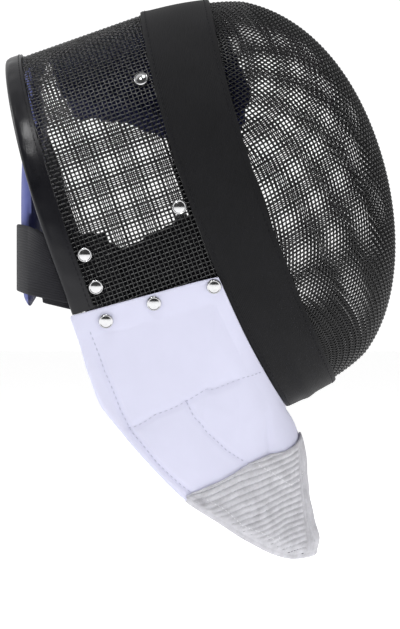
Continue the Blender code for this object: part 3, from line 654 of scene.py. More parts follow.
ELASTIC = RibbedFinish("black_elastic", (0.022, 0.022, 0.026), (0.015, 0.015, 0.018), 0.75, 40.0,
                       pitch=0.0018, rib_depth=0.00016, sheen=0.05, specular=0.12)
NAVY_PAD = ClothFinish("navy_pad", (0.009, 0.011, 0.055), (0.005, 0.006, 0.030), 0.80, 40.0,
                       mapped=False)
BLACK_PAD = ClothFinish("black_pad", (0.010, 0.010, 0.013), (0.006, 0.006, 0.008), 0.80, 40.0,
                        mapped=False)
CHROME = MetalFinish("chrome", (0.68, 0.68, 0.69), (0.58, 0.58, 0.59), 0.12, 300.0)
DARK_THREAD = WireFinish("dark_thread", (0.016, 0.016, 0.019), (0.010, 0.010, 0.012), 0.60, 200.0)
GREY_THREAD = WireFinish("grey_thread", (0.20, 0.20, 0.22), (0.13, 0.13, 0.15), 0.70, 200.0)
# Real thread, whose grey, darker than the bib's cloth, is partly painted shade standing in for the
# shade in the stitch dimples.
PALE_THREAD = WireFinish("pale_thread", (0.56, 0.57, 0.70), (0.48, 0.49, 0.62), 0.70, 200.0)
WHITE_THREAD = WireFinish("white_thread", (0.88, 0.88, 0.90), (0.80, 0.80, 0.84), 0.60, 200.0)
PAPER = PaperFinish("floor_paper", (0.90, 0.90, 0.90), (0.88, 0.88, 0.88), 0.90, 2.0)


class Wardrobe:
    """Builds each finish the first time that it is asked for."""

    def __init__(self) -> None:
        """Start with the shared effects and no materials."""
        self.effects = Effects()
        self.made: dict[str, bpy.types.Material] = {}

    def get(self, finish: Any) -> bpy.types.Material:
        """Material of a finish."""
        if finish.name not in self.made:
            self.made[finish.name] = finish.build(self.effects)
        return self.made[finish.name]


def grid_quads(rows: int, columns: int, wrap_rows: bool = False,
               wrap_columns: bool = False) -> Array:
    """Corner numbers of the quads of a grid of vertices numbered row by row."""
    row = np.arange(rows if wrap_rows else rows - 1)[:, None]
    column = np.arange(columns if wrap_columns else columns - 1)[None, :]
    below, beside = (row + 1) % rows, (column + 1) % columns
    corners = [row * columns + column, row * columns + beside, below * columns + beside,
               below * columns + column]
    return np.stack(np.broadcast_arrays(*corners), axis=-1).reshape(-1, 4)


def outward(vertices: Array, faces: list[Array]) -> list[Array]:
    """Faces of a closed mesh, turned over if its signed volume is negative.

    The volume is a sixth of the sum of the triple products of each triangle's corners.
    """
    volume = 0.0
    for group in faces:
        for last in range(2, group.shape[1]):
            a, b, c = (vertices[group[:, corner]] for corner in (0, last - 1, last))
            volume += float(np.sum(a * np.cross(b, c)))
    return [group[:, ::-1] for group in faces] if volume < 0.0 else faces


def make_piece(name: str, vertices: Array, faces: list[Array], finish: Any, wardrobe: Wardrobe,
               cloth_map: Array | None = None) -> bpy.types.Object:
    """Put a mesh's arrays into a new object at the origin that rides on the frame.

    Args:
        name: Name of the piece.
        vertices: World places, one a row.
        faces: Groups of faces, each an array of corner numbers with one face a row.
        finish: Finish of the piece.
        wardrobe: Where its material comes from.
        cloth_map: Map coordinates of each vertex in metres, if a pattern follows the surface.

    Returns:
        The new object.
    """
    mesh = bpy.data.meshes.new(name)
    loops = np.concatenate([group.ravel() for group in faces]).astype(np.int32)
    sizes = np.concatenate([np.full(len(group), group.shape[1]) for group in faces])
    mesh.vertices.add(len(vertices))
    mesh.vertices.foreach_set("co", np.ascontiguousarray(vertices, dtype=np.float32).ravel())
    mesh.loops.add(len(loops))
    mesh.loops.foreach_set("vertex_index", loops)
    mesh.polygons.add(len(sizes))
    mesh.polygons.foreach_set("loop_start",
                              np.concatenate([[0], np.cumsum(sizes)[:-1]]).astype(np.int32))
    mesh.update(calc_edges=True)
    mesh.shade_smooth()
    if cloth_map is not None:
        layer = mesh.uv_layers.new(name=CLOTH_MAP)
        layer.data.foreach_set("uv", cloth_map[loops].astype(np.float32).ravel())
    mesh.materials.append(wardrobe.get(finish))
    piece = bpy.data.objects.new(name, mesh)
    bpy.context.scene.collection.objects.link(piece)
    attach(piece, "root")
    LOG.info("%s: %d vertices, %d faces", name, len(vertices), len(sizes))
    return piece


def sharpen(piece: bpy.types.Object, degrees: float) -> None:
    """Keep edges sharper than an angle crisp under smooth shading."""
    piece.data.set_sharp_from_angle(angle=math.radians(degrees))


def rounded_slab(front: Array, back: Array, cloth: Array,
                 steps: int = 4) -> tuple[Array, list[Array], Array]:
    """Closed solid between two grids, with a half-round edge all the way round.

    The rings of the edge are M + H cos(t) + O |H| sin(t), where M is halfway between the borders
    of the two faces, H is half of the way from back to front, O points out of the border in the
    sheet's plane and t runs from 0 to 180 degrees.

    Args:
        front: Grid of points of one face.
        back: Grid of points of the other face.
        cloth: Grid of map coordinates.
        steps: How many rings the edge has.

    Returns:
        Vertices, face groups turned outwards and map coordinates of each vertex.
    """
    rows, columns = front.shape[:2]
    count = rows * columns
    quads = grid_quads(rows, columns)
    number = np.arange(count).reshape(rows, columns)
    rim = np.concatenate([number[0, :], number[1:, -1], number[-1, -2::-1], number[-2:0:-1, 0]])
    face, rear = front.reshape(-1, 3), back.reshape(-1, 3)
    middle, half = (face[rim] + rear[rim]) / 2, (face[rim] - rear[rim]) / 2
    along = np.roll(middle, -1, axis=0) - np.roll(middle, 1, axis=0)
    out = unit(np.cross(along, half))
    if np.sum(out[:columns] * (front[0] - front[1])) < 0.0:
        out = -out
    turn = math.pi * np.arange(1, steps + 1)[:, None, None] / (steps + 1)
    size = np.linalg.norm(half, axis=-1, keepdims=True)
    rings = middle + half * np.cos(turn) + out * size * np.sin(turn)
    length = len(rim)
    ring_number = 2 * count + np.arange(steps * length).reshape(steps, length)
    lines = np.concatenate([rim[None], ring_number, rim[None] + count])
    beside = np.roll(lines, -1, axis=1)
    edge = np.stack([lines[:-1], beside[:-1], beside[1:], lines[1:]], axis=-1).reshape(-1, 4)
    vertices = np.concatenate([face, rear, rings.reshape(-1, 3)])
    faces = [np.concatenate([quads[:, ::-1], quads + count, edge])]
    flat = cloth.reshape(-1, 2)
    return vertices, outward(vertices, faces), np.concatenate([flat, flat,
                                                               np.tile(flat[rim], (steps, 1))])


def arc_map(points: Array) -> Array:
    """Map coordinates of a grid in metres: mean arc length along its rows and its columns."""
    along = np.linalg.norm(np.diff(points, axis=0), axis=-1)
    across = np.linalg.norm(np.diff(points, axis=1), axis=-1)
    u = np.concatenate([np.zeros((1, points.shape[1])), np.cumsum(along, axis=0)])
    v = np.concatenate([np.zeros((points.shape[0], 1)), np.cumsum(across, axis=1)], axis=1)
    return np.stack([u, v], axis=-1)


@dataclass(frozen=True)
class WireStyle:
    """Round wire: its radius and how many sides its mesh has."""

    radius: float = 0.00054
    sides: int = 6

    def tubes(self, centres: Array, normals: Array, kept: Array) -> tuple[Array, list[Array]]:
        """Tubes along many paths at once, each cut into the runs of its kept points.

        The ring round a centre is the radius times the cosine and sine of equal turns, along the
        surface normal and the cross product of the path's direction with it.

        Args:
            centres: Paths as an array of wires, points and three coordinates.
            normals: Surface normal at each point.
            kept: Which points are kept.

        Returns:
            Vertices and face groups of all the tubes, with capped ends.
        """
        joined = kept[:, 1:] & kept[:, :-1]
        edge = np.zeros((len(kept), 1), dtype=bool)
        used = np.concatenate([joined, edge], axis=1) | np.concatenate([edge, joined], axis=1)
        tangent = unit(np.gradient(centres, axis=1))
        aside = unit(np.cross(tangent, normals))
        upward = np.cross(aside, tangent)
        turn = 2.0 * math.pi * np.arange(self.sides) / self.sides
        ring = (np.cos(turn)[:, None] * upward[..., None, :]
                + np.sin(turn)[:, None] * aside[..., None, :])
        rings = centres[..., None, :] + self.radius * ring
        number = np.cumsum(used.ravel()).reshape(used.shape) - 1
        first, second = number[:, :-1][joined], number[:, 1:][joined]
        step = np.arange(self.sides)
        beside = (step + 1) % self.sides
        sides = self.sides
        quads = np.stack([first[:, None] * sides + step, first[:, None] * sides + beside,
                          second[:, None] * sides + beside, second[:, None] * sides + step],
                         axis=-1).reshape(-1, 4)
        before = np.concatenate([edge, joined], axis=1)
        behind = np.concatenate([joined, edge], axis=1)
        starts = number[used & ~before] * sides
        ends = number[used & ~behind] * sides
        caps = [starts[:, None] + np.array(order) for order in ((0, 5, 4, 3), (0, 3, 2, 1))]
        caps += [ends[:, None] + np.array(order) for order in ((0, 1, 2, 3), (0, 3, 4, 5))]
        return rings[used].reshape(-1, 3), [np.concatenate([quads] + caps)]


@dataclass(frozen=True)
class WovenWire:
    """What both meshes share: the pitch of the weave, its wire and where its layer lies."""

    shell: Shell = SHELL
    style: WireStyle = field(default_factory=WireStyle)
    pitch: float = 0.0029
    wave: float = 0.00050
    under_band: float = 0.0030

    @property
    def growth(self) -> float:
        """Growth of the layer's middle."""
        return -self.shell.wall / 2

    def families(self, points: Array, kept: Array) -> list[tuple[Array, list[Array]]]:
        """Both families of wires of a net, waving over and under each other.

        A wire's centre is the net's point moved along the surface normal by the wave, up and
        down at alternate crossings, and the other family's is moved the opposite way.

        Args:
            points: Net of crossings in the mask's frame.
            kept: Which crossings are kept.

        Returns:
            Vertices and faces of the wires along the rows, then of those along the columns.
        """
        normals = unit(self.shell.slope(points, self.growth))
        rows, columns = np.indices(kept.shape)
        sign = np.where((rows + columns) % 2 == 0, 1.0, -1.0)[..., None]
        made = []
        for direction in (1.0, -1.0):
            centres = points + direction * sign * self.wave * normals
            if direction > 0.0:
                made.append(self.style.tubes(centres, normals, kept))
            else:
                made.append(self.style.tubes(np.swapaxes(centres, 0, 1),
                                             np.swapaxes(normals, 0, 1), kept.T))
        return made

    def dress(self, prefix: str, node: str, points: Array, kept: Array,
              wardrobe: Wardrobe) -> list[bpy.types.Object]:
        """Build both families as pieces that stand for a node of the frame."""
        pieces = []
        for word, (vertices, faces) in zip(("cross_wires", "length_wires"),
                                           self.families(points, kept)):
            piece = make_piece(f"{prefix}_{word}", self.shell.to_world(vertices), faces, WIRE,
                               wardrobe)
            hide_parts(node)
            pieces.append(piece)
        return pieces


@dataclass(frozen=True)
class FaceMesh(WovenWire):
    """The dome's mesh, a flat weave pressed into a dome so that every cell keeps its sides."""

    draw_tilt: float = math.radians(12.0)
    draw_height: float = -0.004
    reach_across: int = 72
    reach_up: int = 84
    solver_steps: int = 6

    def settle(self, start: Array, anchors: list[Array], plane: Array | None = None) -> Array:
        """Move points on to the shell at one pitch from each of their anchors.

        Newton's steps solve three equations at once for each point: its level is 0, its squared
        distance to each anchor is the squared pitch and, with one anchor, it lies in a plane.

        Args:
            start: First guess of each point.
            anchors: One or two arrays of points that lie one pitch away.
            plane: Normal and offset of the plane, for a point with one anchor.

        Returns:
            The settled points.
        """
        points = start.copy()
        for _ in range(self.solver_steps):
            residual = [self.shell.level(points, self.growth)]
            rows = [self.shell.slope(points, self.growth)]
            for anchor in anchors:
                residual.append(np.sum((points - anchor) ** 2, axis=-1) - self.pitch ** 2)
                rows.append(2.0 * (points - anchor))
            if plane is not None:
                residual.append(points @ plane[:3] - plane[3])
                rows.append(np.broadcast_to(plane[:3], points.shape))
            matrix = np.stack(rows, axis=-2)
            matrix = matrix + 1e-15 * np.eye(3)
            points = points - np.linalg.solve(matrix, np.stack(residual, axis=-1)[..., None])[..., 0]
        return points

    def axis_points(self, origin: Array, direction: Array, plane: Array, count: int) -> Array:
        """Points one pitch apart along the cut of the shell by a plane, from the origin on."""
        points = [origin]
        heading = direction
        for _ in range(count):
            guess = points[-1] + self.pitch * heading
            points.append(self.settle(guess[None], [points[-1][None]], plane)[0])
            heading = unit(points[-1] - points[-2])
        return np.array(points)

    def origin(self) -> Array:
        """Where the line of the draw meets the shell, found by halving its distance."""
        ray = np.array([math.cos(self.draw_tilt), 0.0, math.sin(self.draw_tilt)])
        base = np.array([0.0, 0.0, self.draw_height])
        near, far = 0.0, 2.0 * self.shell.dome_depth
        for _ in range(50):
            middle = (near + far) / 2
            if self.shell.level(base + middle * ray, self.growth) < 0.0:
                near = middle
            else:
                far = middle
        return base + near * ray

    def quarter(self, across: Array, upright: Array) -> Array:
        """Net of one quarter, filled diagonal by diagonal from its two axes."""
        net = np.full((len(across), len(upright), 3), np.nan)
        net[:, 0], net[0, :] = across, upright
        for diagonal in range(2, len(across) + len(upright) - 1):
            i = np.arange(max(1, diagonal - len(upright) + 1), min(len(across), diagonal))
            j = diagonal - i
            beside, below = net[i - 1, j], net[i, j - 1]
            net[i, j] = self.settle(beside + below - net[i - 1, j - 1], [beside, below])
        return net

    def net(self) -> Array:
        """The whole net, its columns from right to left and its rows from low to high."""
        origin = self.origin()
        middle = np.array([0.0, 1.0, 0.0, 0.0])
        level = np.array([-math.sin(self.draw_tilt), 0.0, math.cos(self.draw_tilt)])
        cut = np.array([*level, origin @ level])
        across = self.axis_points(origin, np.array([0.0, 1.0, 0.0]), cut, self.reach_across)
        up = self.axis_points(origin, np.array([0.0, 0.0, 1.0]), middle, self.reach_up)
        down = self.axis_points(origin, np.array([0.0, 0.0, -1.0]), middle, self.reach_up)
        upper, lower = self.quarter(across, up), self.quarter(across, down)
        left = np.concatenate([lower[:, :0:-1], upper], axis=1)
        right = left[:0:-1] * np.array([1.0, -1.0, 1.0])
        return np.concatenate([right, left], axis=0)

    def build(self, wardrobe: Wardrobe) -> None:
        """Weave the dome as far as the inside of the band."""
        points = self.net()
        angle = self.shell.angle_of(points, self.growth)
        edge = self.shell.band_middle(angle) + self.under_band
        sound = np.all(np.isfinite(points), axis=-1)
        kept = sound & (points[..., 0] > edge) & (points[..., 0] < self.shell.dome_depth + 0.01)
        points = np.where(sound[..., None], points, 0.0)
        self.dress("face", "face_mesh", points, kept, wardrobe)


@dataclass(frozen=True)
class SideMesh(WovenWire):
    """The basket's mesh, its wires along the depth and round the section."""

    under_binding: float = 0.0020
    low_edge: float = -0.0587
    table: int = 4001

    def build(self, wardrobe: Wardrobe) -> None:
        """Weave the basket from under the band to inside the binding and under the bib."""
        shell = self.shell
        low = float(shell.angle_at_height(self.low_edge, self.growth))
        angle = np.linspace(low, math.pi - low, self.table)
        section = shell.point(angle, -shell.rear_side, self.growth)
        length = np.concatenate([[0.0], np.cumsum(np.linalg.norm(np.diff(section, axis=0), axis=1))])
        count = int(length[-1] / self.pitch)
        places = length[-1] / 2 + self.pitch * (np.arange(count) - (count - 1) / 2)
        turn = np.interp(places, length, angle)
        depth = -self.pitch * np.arange(int(shell.rear_side / self.pitch) + 1)
        points = shell.point(turn[:, None], depth[None, :], self.growth)
        front = shell.band_middle(turn) - self.under_band
        rear = shell.rear_depth(turn) + self.under_binding
        kept = (depth[None, :] < front[:, None]) & (depth[None, :] > rear[:, None])
        self.dress("side", "side_mesh", points, kept, wardrobe)


@dataclass(frozen=True)
class Thread:
    """Sewing stitches: each a small spindle lying on a seam."""

    length: float = 0.0026
    gap: float = 0.0012
    radius: float = 0.00035
    sides: int = 6

    def template(self) -> tuple[Array, list[Array]]:
        """Spindle of length 1 along X and radius 1: three rings between two poles."""
        turn = 2.0 * math.pi * np.arange(self.sides) / self.sides
        rings = [(x, size * math.cos(t), size * math.sin(t))
                 for x, size in ((-0.40, 0.75), (0.0, 1.0), (0.40, 0.75)) for t in turn]
        vertices = np.array(rings + [(-0.5, 0.0, 0.0), (0.5, 0.0, 0.0)])
        step = np.arange(self.sides)
        beside = (step + 1) % self.sides
        last = 2 * self.sides
        start, end = np.full(self.sides, 3 * self.sides), np.full(self.sides, 3 * self.sides + 1)
        tips = np.concatenate([np.stack([start, beside, step], axis=-1),
                               np.stack([end, last + step, last + beside], axis=-1)])
        return vertices, outward(vertices, [grid_quads(3, self.sides, wrap_columns=True), tips])

    def sew(self, paths: Sequence[tuple[Array, Array]]) -> tuple[Array, list[Array]]:
        """Stitches along paths.

        Args:
            paths: Points and surface normals of each path.

        Returns:
            Vertices and face groups of all the stitches.
        """
        template, faces = self.template()
        placed = []
        for points, normals in paths:
            length = np.concatenate([[0.0], np.cumsum(np.linalg.norm(np.diff(points, axis=0),
                                                                     axis=1))])
            pitch = self.length + self.gap
            middle = np.arange(pitch / 2, length[-1] - pitch / 2, pitch)

            def read(values: Array, at: Array) -> Array:
                return np.stack([np.interp(at, length, column) for column in values.T], axis=-1)

            centre, normal = read(points, middle), unit(read(normals, middle))
            along = unit(read(points, middle + self.length / 2)
                         - read(points, middle - self.length / 2))
            aside = unit(np.cross(normal, along))
            local = template * np.array([self.length, self.radius, self.radius])
            placed.append(centre[:, None] + local[:, :1] * along[:, None]
                          + local[:, 1:2] * aside[:, None] + local[:, 2:] * normal[:, None])
        stitches = np.concatenate(placed)
        shift = np.arange(len(stitches))[:, None, None] * len(template)
        groups = [(group[None] + shift).reshape(-1, group.shape[1]) for group in faces]
        return stitches.reshape(-1, 3), groups


@dataclass(frozen=True)
class TrimBand:
    """The wide satin band: its outer face, its liner and the web between the two meshes."""

    shell: Shell = SHELL
    thickness: float = 0.0020
    liner_thickness: float = 0.0015
    turns: int = 420
    face_columns: int = 33
    ripple_height: float = 0.00035
    crease_height: float = 0.0010
    edge_round: float = 0.0007
    stitch_inset: float = 0.0032
    flat: tuple[float, float] = (0.79, 0.047)
    seed: int = 11

    def face_growth(self, angle: Array, share: Array) -> Array:
        """Growth of the band's outer face: rounded edges, slow ripples and a lengthwise crease.

        Args:
            angle: Angle round the section.
            share: Place across the band, -1 at its rear edge and 1 at its front edge.
        """
        edge = self.edge_round * np.clip((np.abs(share) - 0.94) / 0.06, 0.0, 1.0) ** 2
        wave = self.ripple_height * ripple(9.0 * angle, 2.4 * share, self.seed)
        low = np.clip((-0.35 - np.sin(angle)) / 0.4, 0.0, 1.0)
        crease = self.crease_height * low * bump(share - 0.15 - 0.25 * np.sin(angle), 0.22)
        inside = np.clip((1.0 - np.abs(share)) / 0.2, 0.0, 1.0)
        return self.shell.clearance + self.thickness - edge + (wave + crease) * inside

    def outline(self, angle: Array) -> tuple[Array, Array, Array]:
        """Closed outline of the section: depth offsets, growths and distances round it."""
        shell = self.shell
        edge = (shell.band_width(angle) / 2)[:, None]
        web = shell.band_web / 2
        liner = (web + edge) / 2
        share = np.linspace(-1.0, 1.0, self.face_columns)[None, :]
        ones = np.ones_like(edge)
        over = -shell.wall - shell.clearance
        foot = over - self.liner_thickness
        under = shell.clearance
        rest = [(edge, under), (liner, under), (web * ones, under), (web * ones, over),
                (liner, over), (liner + 0.0003, over - 0.0007), (liner - 0.0004, foot),
                (0.0 * ones, foot), (-liner + 0.0004, foot), (-liner - 0.0003, over - 0.0007),
                (-liner, over), (-web * ones, over), (-web * ones, under), (-liner, under),
                (-edge, under)]
        across = np.concatenate([edge * share] + [place for place, _ in rest], axis=1)
        growth = np.concatenate([self.face_growth(angle[:, None], share)]
                                + [height * ones for _, height in rest], axis=1)
        return across, growth, share

    def place(self, angle: Array, share: float, lift: float) -> Array:
        """World points along the band's outer face at a share across it, raised by a lift."""
        edge = self.shell.band_width(angle) / 2
        growth = self.face_growth(angle, np.full_like(angle, share)) + lift
        depth = self.shell.band_middle(angle) + edge * share
        return self.shell.to_world(self.shell.point(angle, depth, growth))

    def build(self, wardrobe: Wardrobe) -> None:
        """Build the band and the stitches along both of its edges."""
        angle = np.linspace(-0.5 * math.pi, 1.5 * math.pi, self.turns, endpoint=False)
        across, growth, _ = self.outline(angle)
        depth = self.shell.band_middle(angle)[:, None] + across
        points = self.shell.to_world(self.shell.point(angle[:, None], depth, growth))
        rows, columns = points.shape[:2]
        quads = grid_quads(rows, columns, wrap_rows=True, wrap_columns=True)
        vertices = points.reshape(-1, 3)
        cloth = np.stack(np.broadcast_arrays(
            self.flat[0] * np.arange(rows)[:, None] / rows, across), axis=-1).reshape(-1, 2)
        piece = make_piece("band", vertices, outward(vertices, [quads]), SATIN, wardrobe, cloth)
        sharpen(piece, 50.0)
        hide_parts("trim_band")
        self.sew_edges(angle, wardrobe)

    def sew_edges(self, angle: Array, wardrobe: Wardrobe) -> None:
        """Sew a line of stitches inside each edge of the band."""
        paths = []
        for sign in (-1.0, 1.0):
            share = sign * (1.0 - self.stitch_inset / (self.shell.band_width_top / 2))
            line = self.place(angle, share, 0.0001)
            normal = unit(self.place(angle, share, 0.0011) - line)
            paths.append((line, normal))
        vertices, faces = Thread(length=0.0024, gap=0.0014, radius=0.00028).sew(paths)
        piece = make_piece("band_stitches", vertices, faces, DARK_THREAD, wardrobe)


@dataclass(frozen=True)
class Binding:
    """The glossy binding folded over the basket's rear edge, ending at the bib on each side."""

    shell: Shell = SHELL
    width_side: float = 0.012
    width_top: float = 0.009
    thickness: float = 0.0015
    low_height: float = -0.0371
    turns: int = 300
    swell: float = 0.0004
    flat: tuple[float, float] = (0.50, 0.028)
    seed: int = 5

    def width(self, angle: Array) -> Array:
        """Width of each lip, narrower at the crown."""
        crown = np.clip(np.sin(angle), 0.0, 1.0) ** 2
        return self.width_side + (self.width_top - self.width_side) * crown

    def build(self, wardrobe: Wardrobe) -> None:
        """Build the fold as one closed bar: an outer lip, a rounded back and an inner lip.

        The outline runs round half circles at the back, whose middle is the wire's rear edge,
        and along both lips, outside and then inside.
        """
        shell = self.shell
        low = float(shell.angle_at_height(np.array(self.low_height)))
        angle = np.linspace(low, math.pi - low, self.turns)
        width = self.width(angle)[:, None]
        inner_half = shell.wall / 2 + shell.clearance
        outer_half = inner_half + self.thickness
        middle = -shell.wall / 2
        turn = np.linspace(0.5 * math.pi, 1.5 * math.pi, 13)[None, :]
        lip = np.linspace(1.0, 0.06, 9)[None, :]
        one = np.ones_like(width)
        puff = self.swell * np.sin(math.pi * np.clip(lip, 0.0, 1.0))
        ridge = 0.6 * self.swell * ripple(40.0 * angle[:, None], 3.0 * lip, self.seed)
        back = outer_half * np.cos(turn)
        pieces = [
            (width * lip, middle + outer_half + puff + ridge * (1.0 - lip)),
            (back * one, middle + outer_half * np.sin(turn) * one),
            (width * lip[:, ::-1], (middle - outer_half) * np.ones_like(width * lip)),
            (width * lip, (middle - inner_half) * np.ones_like(width * lip)),
            (-shell.clearance * one, (middle - inner_half) * one),
            (-shell.clearance * one, (middle + inner_half) * one),
            (width * lip[:, ::-1], (middle + inner_half) * np.ones_like(width * lip)),
        ]
        along = np.concatenate([place * one for place, _ in pieces], axis=1)
        growth = np.concatenate([height * one for _, height in pieces], axis=1)
        depth = shell.rear_depth(angle)[:, None] + along
        points = shell.to_world(shell.point(angle[:, None], depth, growth))
        rows, columns = points.shape[:2]
        quads = grid_quads(rows, columns, wrap_columns=True)
        count = len(lip[0])
        ends = self.end_quads(count, columns)
        caps = np.concatenate([ends[:, ::-1], ends + (rows - 1) * columns])
        vertices = points.reshape(-1, 3)
        faces = outward(vertices, [np.concatenate([quads, caps])])
        piece = make_piece("binding", vertices, faces, LEATHERETTE, wardrobe,
                           arc_map(points).reshape(-1, 2))
        sharpen(piece, 50.0)
        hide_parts("rear_edge_binding")
        self.sew(angle, wardrobe)

    def end_quads(self, lip: int, columns: int) -> Array:
        """Quads that close an end of the bar between its outer and its inner outline."""
        back = columns - 4 * lip - 2
        outer = np.arange(lip + back + lip)
        inner = np.arange(columns - 1, lip + back + lip - 1, -1)
        share = np.linspace(0.0, len(inner) - 1, len(outer)).round().astype(int)
        matched = inner[share]
        quads = np.stack([outer[:-1], outer[1:], matched[1:], matched[:-1]], axis=-1)
        return quads[matched[1:] != matched[:-1]]

    def sew(self, angle: Array, wardrobe: Wardrobe) -> None:
        """Sew a line of stitches near the outer lip's front edge."""
        shell = self.shell
        depth = shell.rear_depth(angle) + 0.80 * self.width(angle)
        growth = shell.clearance + self.thickness + self.swell
        line = shell.to_world(shell.point(angle, depth, growth))
        normal = unit(shell.to_world(shell.point(angle, depth, growth + 0.001)) - line)
        vertices, faces = Thread(length=0.0024, gap=0.0012, radius=0.00026).sew([(line, normal)])
        piece = make_piece("binding_stitches", vertices, faces, DARK_THREAD, wardrobe)


@dataclass(frozen=True)
class BibShape:
    """Sizes and formulas of the bib's outer face, the same as the solid's."""

    shell: Shell = SHELL
    top_rear: float = -0.038
    top_front: float = -0.0455
    rear_depth: float = 0.1355
    corner_drop: float = 0.064
    length: float = 0.145
    half_width: float = 0.088
    power: float = 2.2
    edge_thickness: float = 0.0022
    ease: float = 0.0008
    thickness: float = 0.0040
    hem_width: float = 0.010
    hem_thickness: float = 0.0048
    tuck: float = 0.0035
    pouch: float = 0.0045
    turn: float = 0.15
    straight: float = 0.04
    reach: float = 0.1015
    lap: float = 0.017
    edge_rows: tuple[tuple[float, float], ...] = (
        (0.00, 0.000), (0.28, 0.148), (0.52, 0.305), (0.66, 0.453), (0.81, 0.611), (0.97, 0.850),
        (1.00, 1.000))

    @property
    def face(self) -> float:
        """Growth of the bib's outer face where it laps the basket."""
        return self.ease + self.edge_thickness

    def knee(self) -> tuple[float, float, float]:
        """Angle, side length and share at which the top edge leaves the basket for the rim."""
        shell = self.shell
        turn = float(shell.angle_at_height(np.array(self.top_front), self.face))
        front = float(shell.band_middle(turn) - shell.band_width(turn) / 2) - shell.clearance
        side_length = self.rear_depth + front
        rim_length = (turn + 0.5 * math.pi) * shell.half_height
        return turn, side_length, side_length / (side_length + rim_length)

    def top(self, share: Array) -> Array:
        """Top edge of the bib's left half: share 0 at its rear corner, 1 under the chin."""
        shell = self.shell
        turn, side_length, knee = self.knee()
        along = np.clip(share / knee, 0.0, 1.0)
        height = self.top_rear + (self.top_front - self.top_rear) * along
        side = shell.side_point(-self.rear_depth + side_length * along, height, self.face)
        round_rim = np.clip((share - knee) / (1.0 - knee), 0.0, 1.0)
        angle = turn + (-0.5 * math.pi - turn) * round_rim
        depth = shell.band_middle(angle) - shell.band_width(angle) / 2 - shell.clearance
        rim = shell.point(angle, depth, self.face - self.tuck * round_rim)
        return np.where((share < knee)[..., None], side, rim)

    def hem(self, share: Array) -> Array:
        """Free edge of the bib's left half: share 0 at its rear corner, 1 at the middle front.

        Seen along the depth it is a superellipse. Its reach forward is read from the table.
        """
        angle = 0.5 * math.pi * share
        drop = np.abs(np.sin(angle)) ** (2.0 / self.power)
        width = self.half_width * np.abs(np.cos(angle)) ** (2.0 / self.power)
        reach = smooth_through(self.edge_rows, drop)
        height = self.top_rear - self.corner_drop - self.length * drop
        return np.stack([-self.rear_depth + self.reach * reach, width, height], axis=-1)

    def span(self, across: Array) -> Array:
        """Length from the top edge to the free edge."""
        share = 1.0 - np.abs(1.0 - across)
        return np.linalg.norm(self.hem(share) - self.top(share), axis=-1)

    def point(self, across: Array, down: Array) -> Array:
        """Outer face of the bib: across 0 to 2 from left rear to right rear, down 0 to 1.

        It is the straight way from the top edge to the free edge, held against the basket along
        its lap, hung from there in the basket's width, and pushed forward a little in front.
        """
        share = 1.0 - np.abs(1.0 - across)
        top, hem = self.top(share), self.hem(share)
        point = top + (hem - top) * down[..., None]
        lap = self.lap / np.linalg.norm(hem - top, axis=-1)
        tight = np.minimum(down, lap)
        level = top[..., 2] + (hem[..., 2] - top[..., 2]) * tight
        wall = self.shell.side_point(point[..., 0], level, self.face)[..., 1]
        free = np.clip((down - lap) / (1.0 - lap), 0.0, 1.0)
        hung = wall + (hem[..., 1] - wall) * free
        beside = np.clip(1.0 - (share - self.knee()[2]) / self.turn, 0.0, 1.0)
        point[..., 1] += (hung - point[..., 1]) * beside
        pouch = self.pouch * np.clip(2.0 * share - 1.0, 0.0, 1.0) ** 2
        below = np.clip(down - self.straight, 0.0, 1.0)
        peak = 0.2 * 0.8 ** 4
        point[..., 0] += pouch * below * (1.0 - below) ** 4 / peak
        point[..., 1] *= np.where(across > 1.0, -1.0, 1.0)
        return point

    def outward(self, across: Array, down: Array) -> Array:
        """Unit normal of the outer face, from steps across and down, turned away from the neck."""
        step = 1e-3
        along = self.point(np.clip(across + step, 0.0, 2.0), down) \
            - self.point(np.clip(across - step, 0.0, 2.0), down)
        fall = self.point(across, np.clip(down + step, 0.0, 1.0)) \
            - self.point(across, np.clip(down - step, 0.0, 1.0))
        normal = unit(np.cross(along, fall))
        middle = np.array([-0.5 * self.shell.rear_side, 0.0, -0.12])
        away = np.sum(normal * (self.point(across, down) - middle), axis=-1)
        return normal if np.sum(away) > 0.0 else -normal


@dataclass(frozen=True)
class Seam:
    """A sewn line on the bib, as places across and down it on the wearer's right half."""

    places: tuple[tuple[float, float], ...]
    depth: float
    width: float
    stitched: bool = False

    def path(self, mirrored: bool, count: int = 60) -> tuple[Array, Array]:
        """Places across and down along the seam, on either half."""
        table = np.array(self.places)
        length = np.concatenate([[0.0], np.cumsum(np.linalg.norm(np.diff(table, axis=0), axis=1))])
        at = np.linspace(0.0, length[-1], count)
        across = np.interp(at, length, table[:, 0])
        down = np.interp(at, length, table[:, 1])
        return (2.0 - across if mirrored else across), down


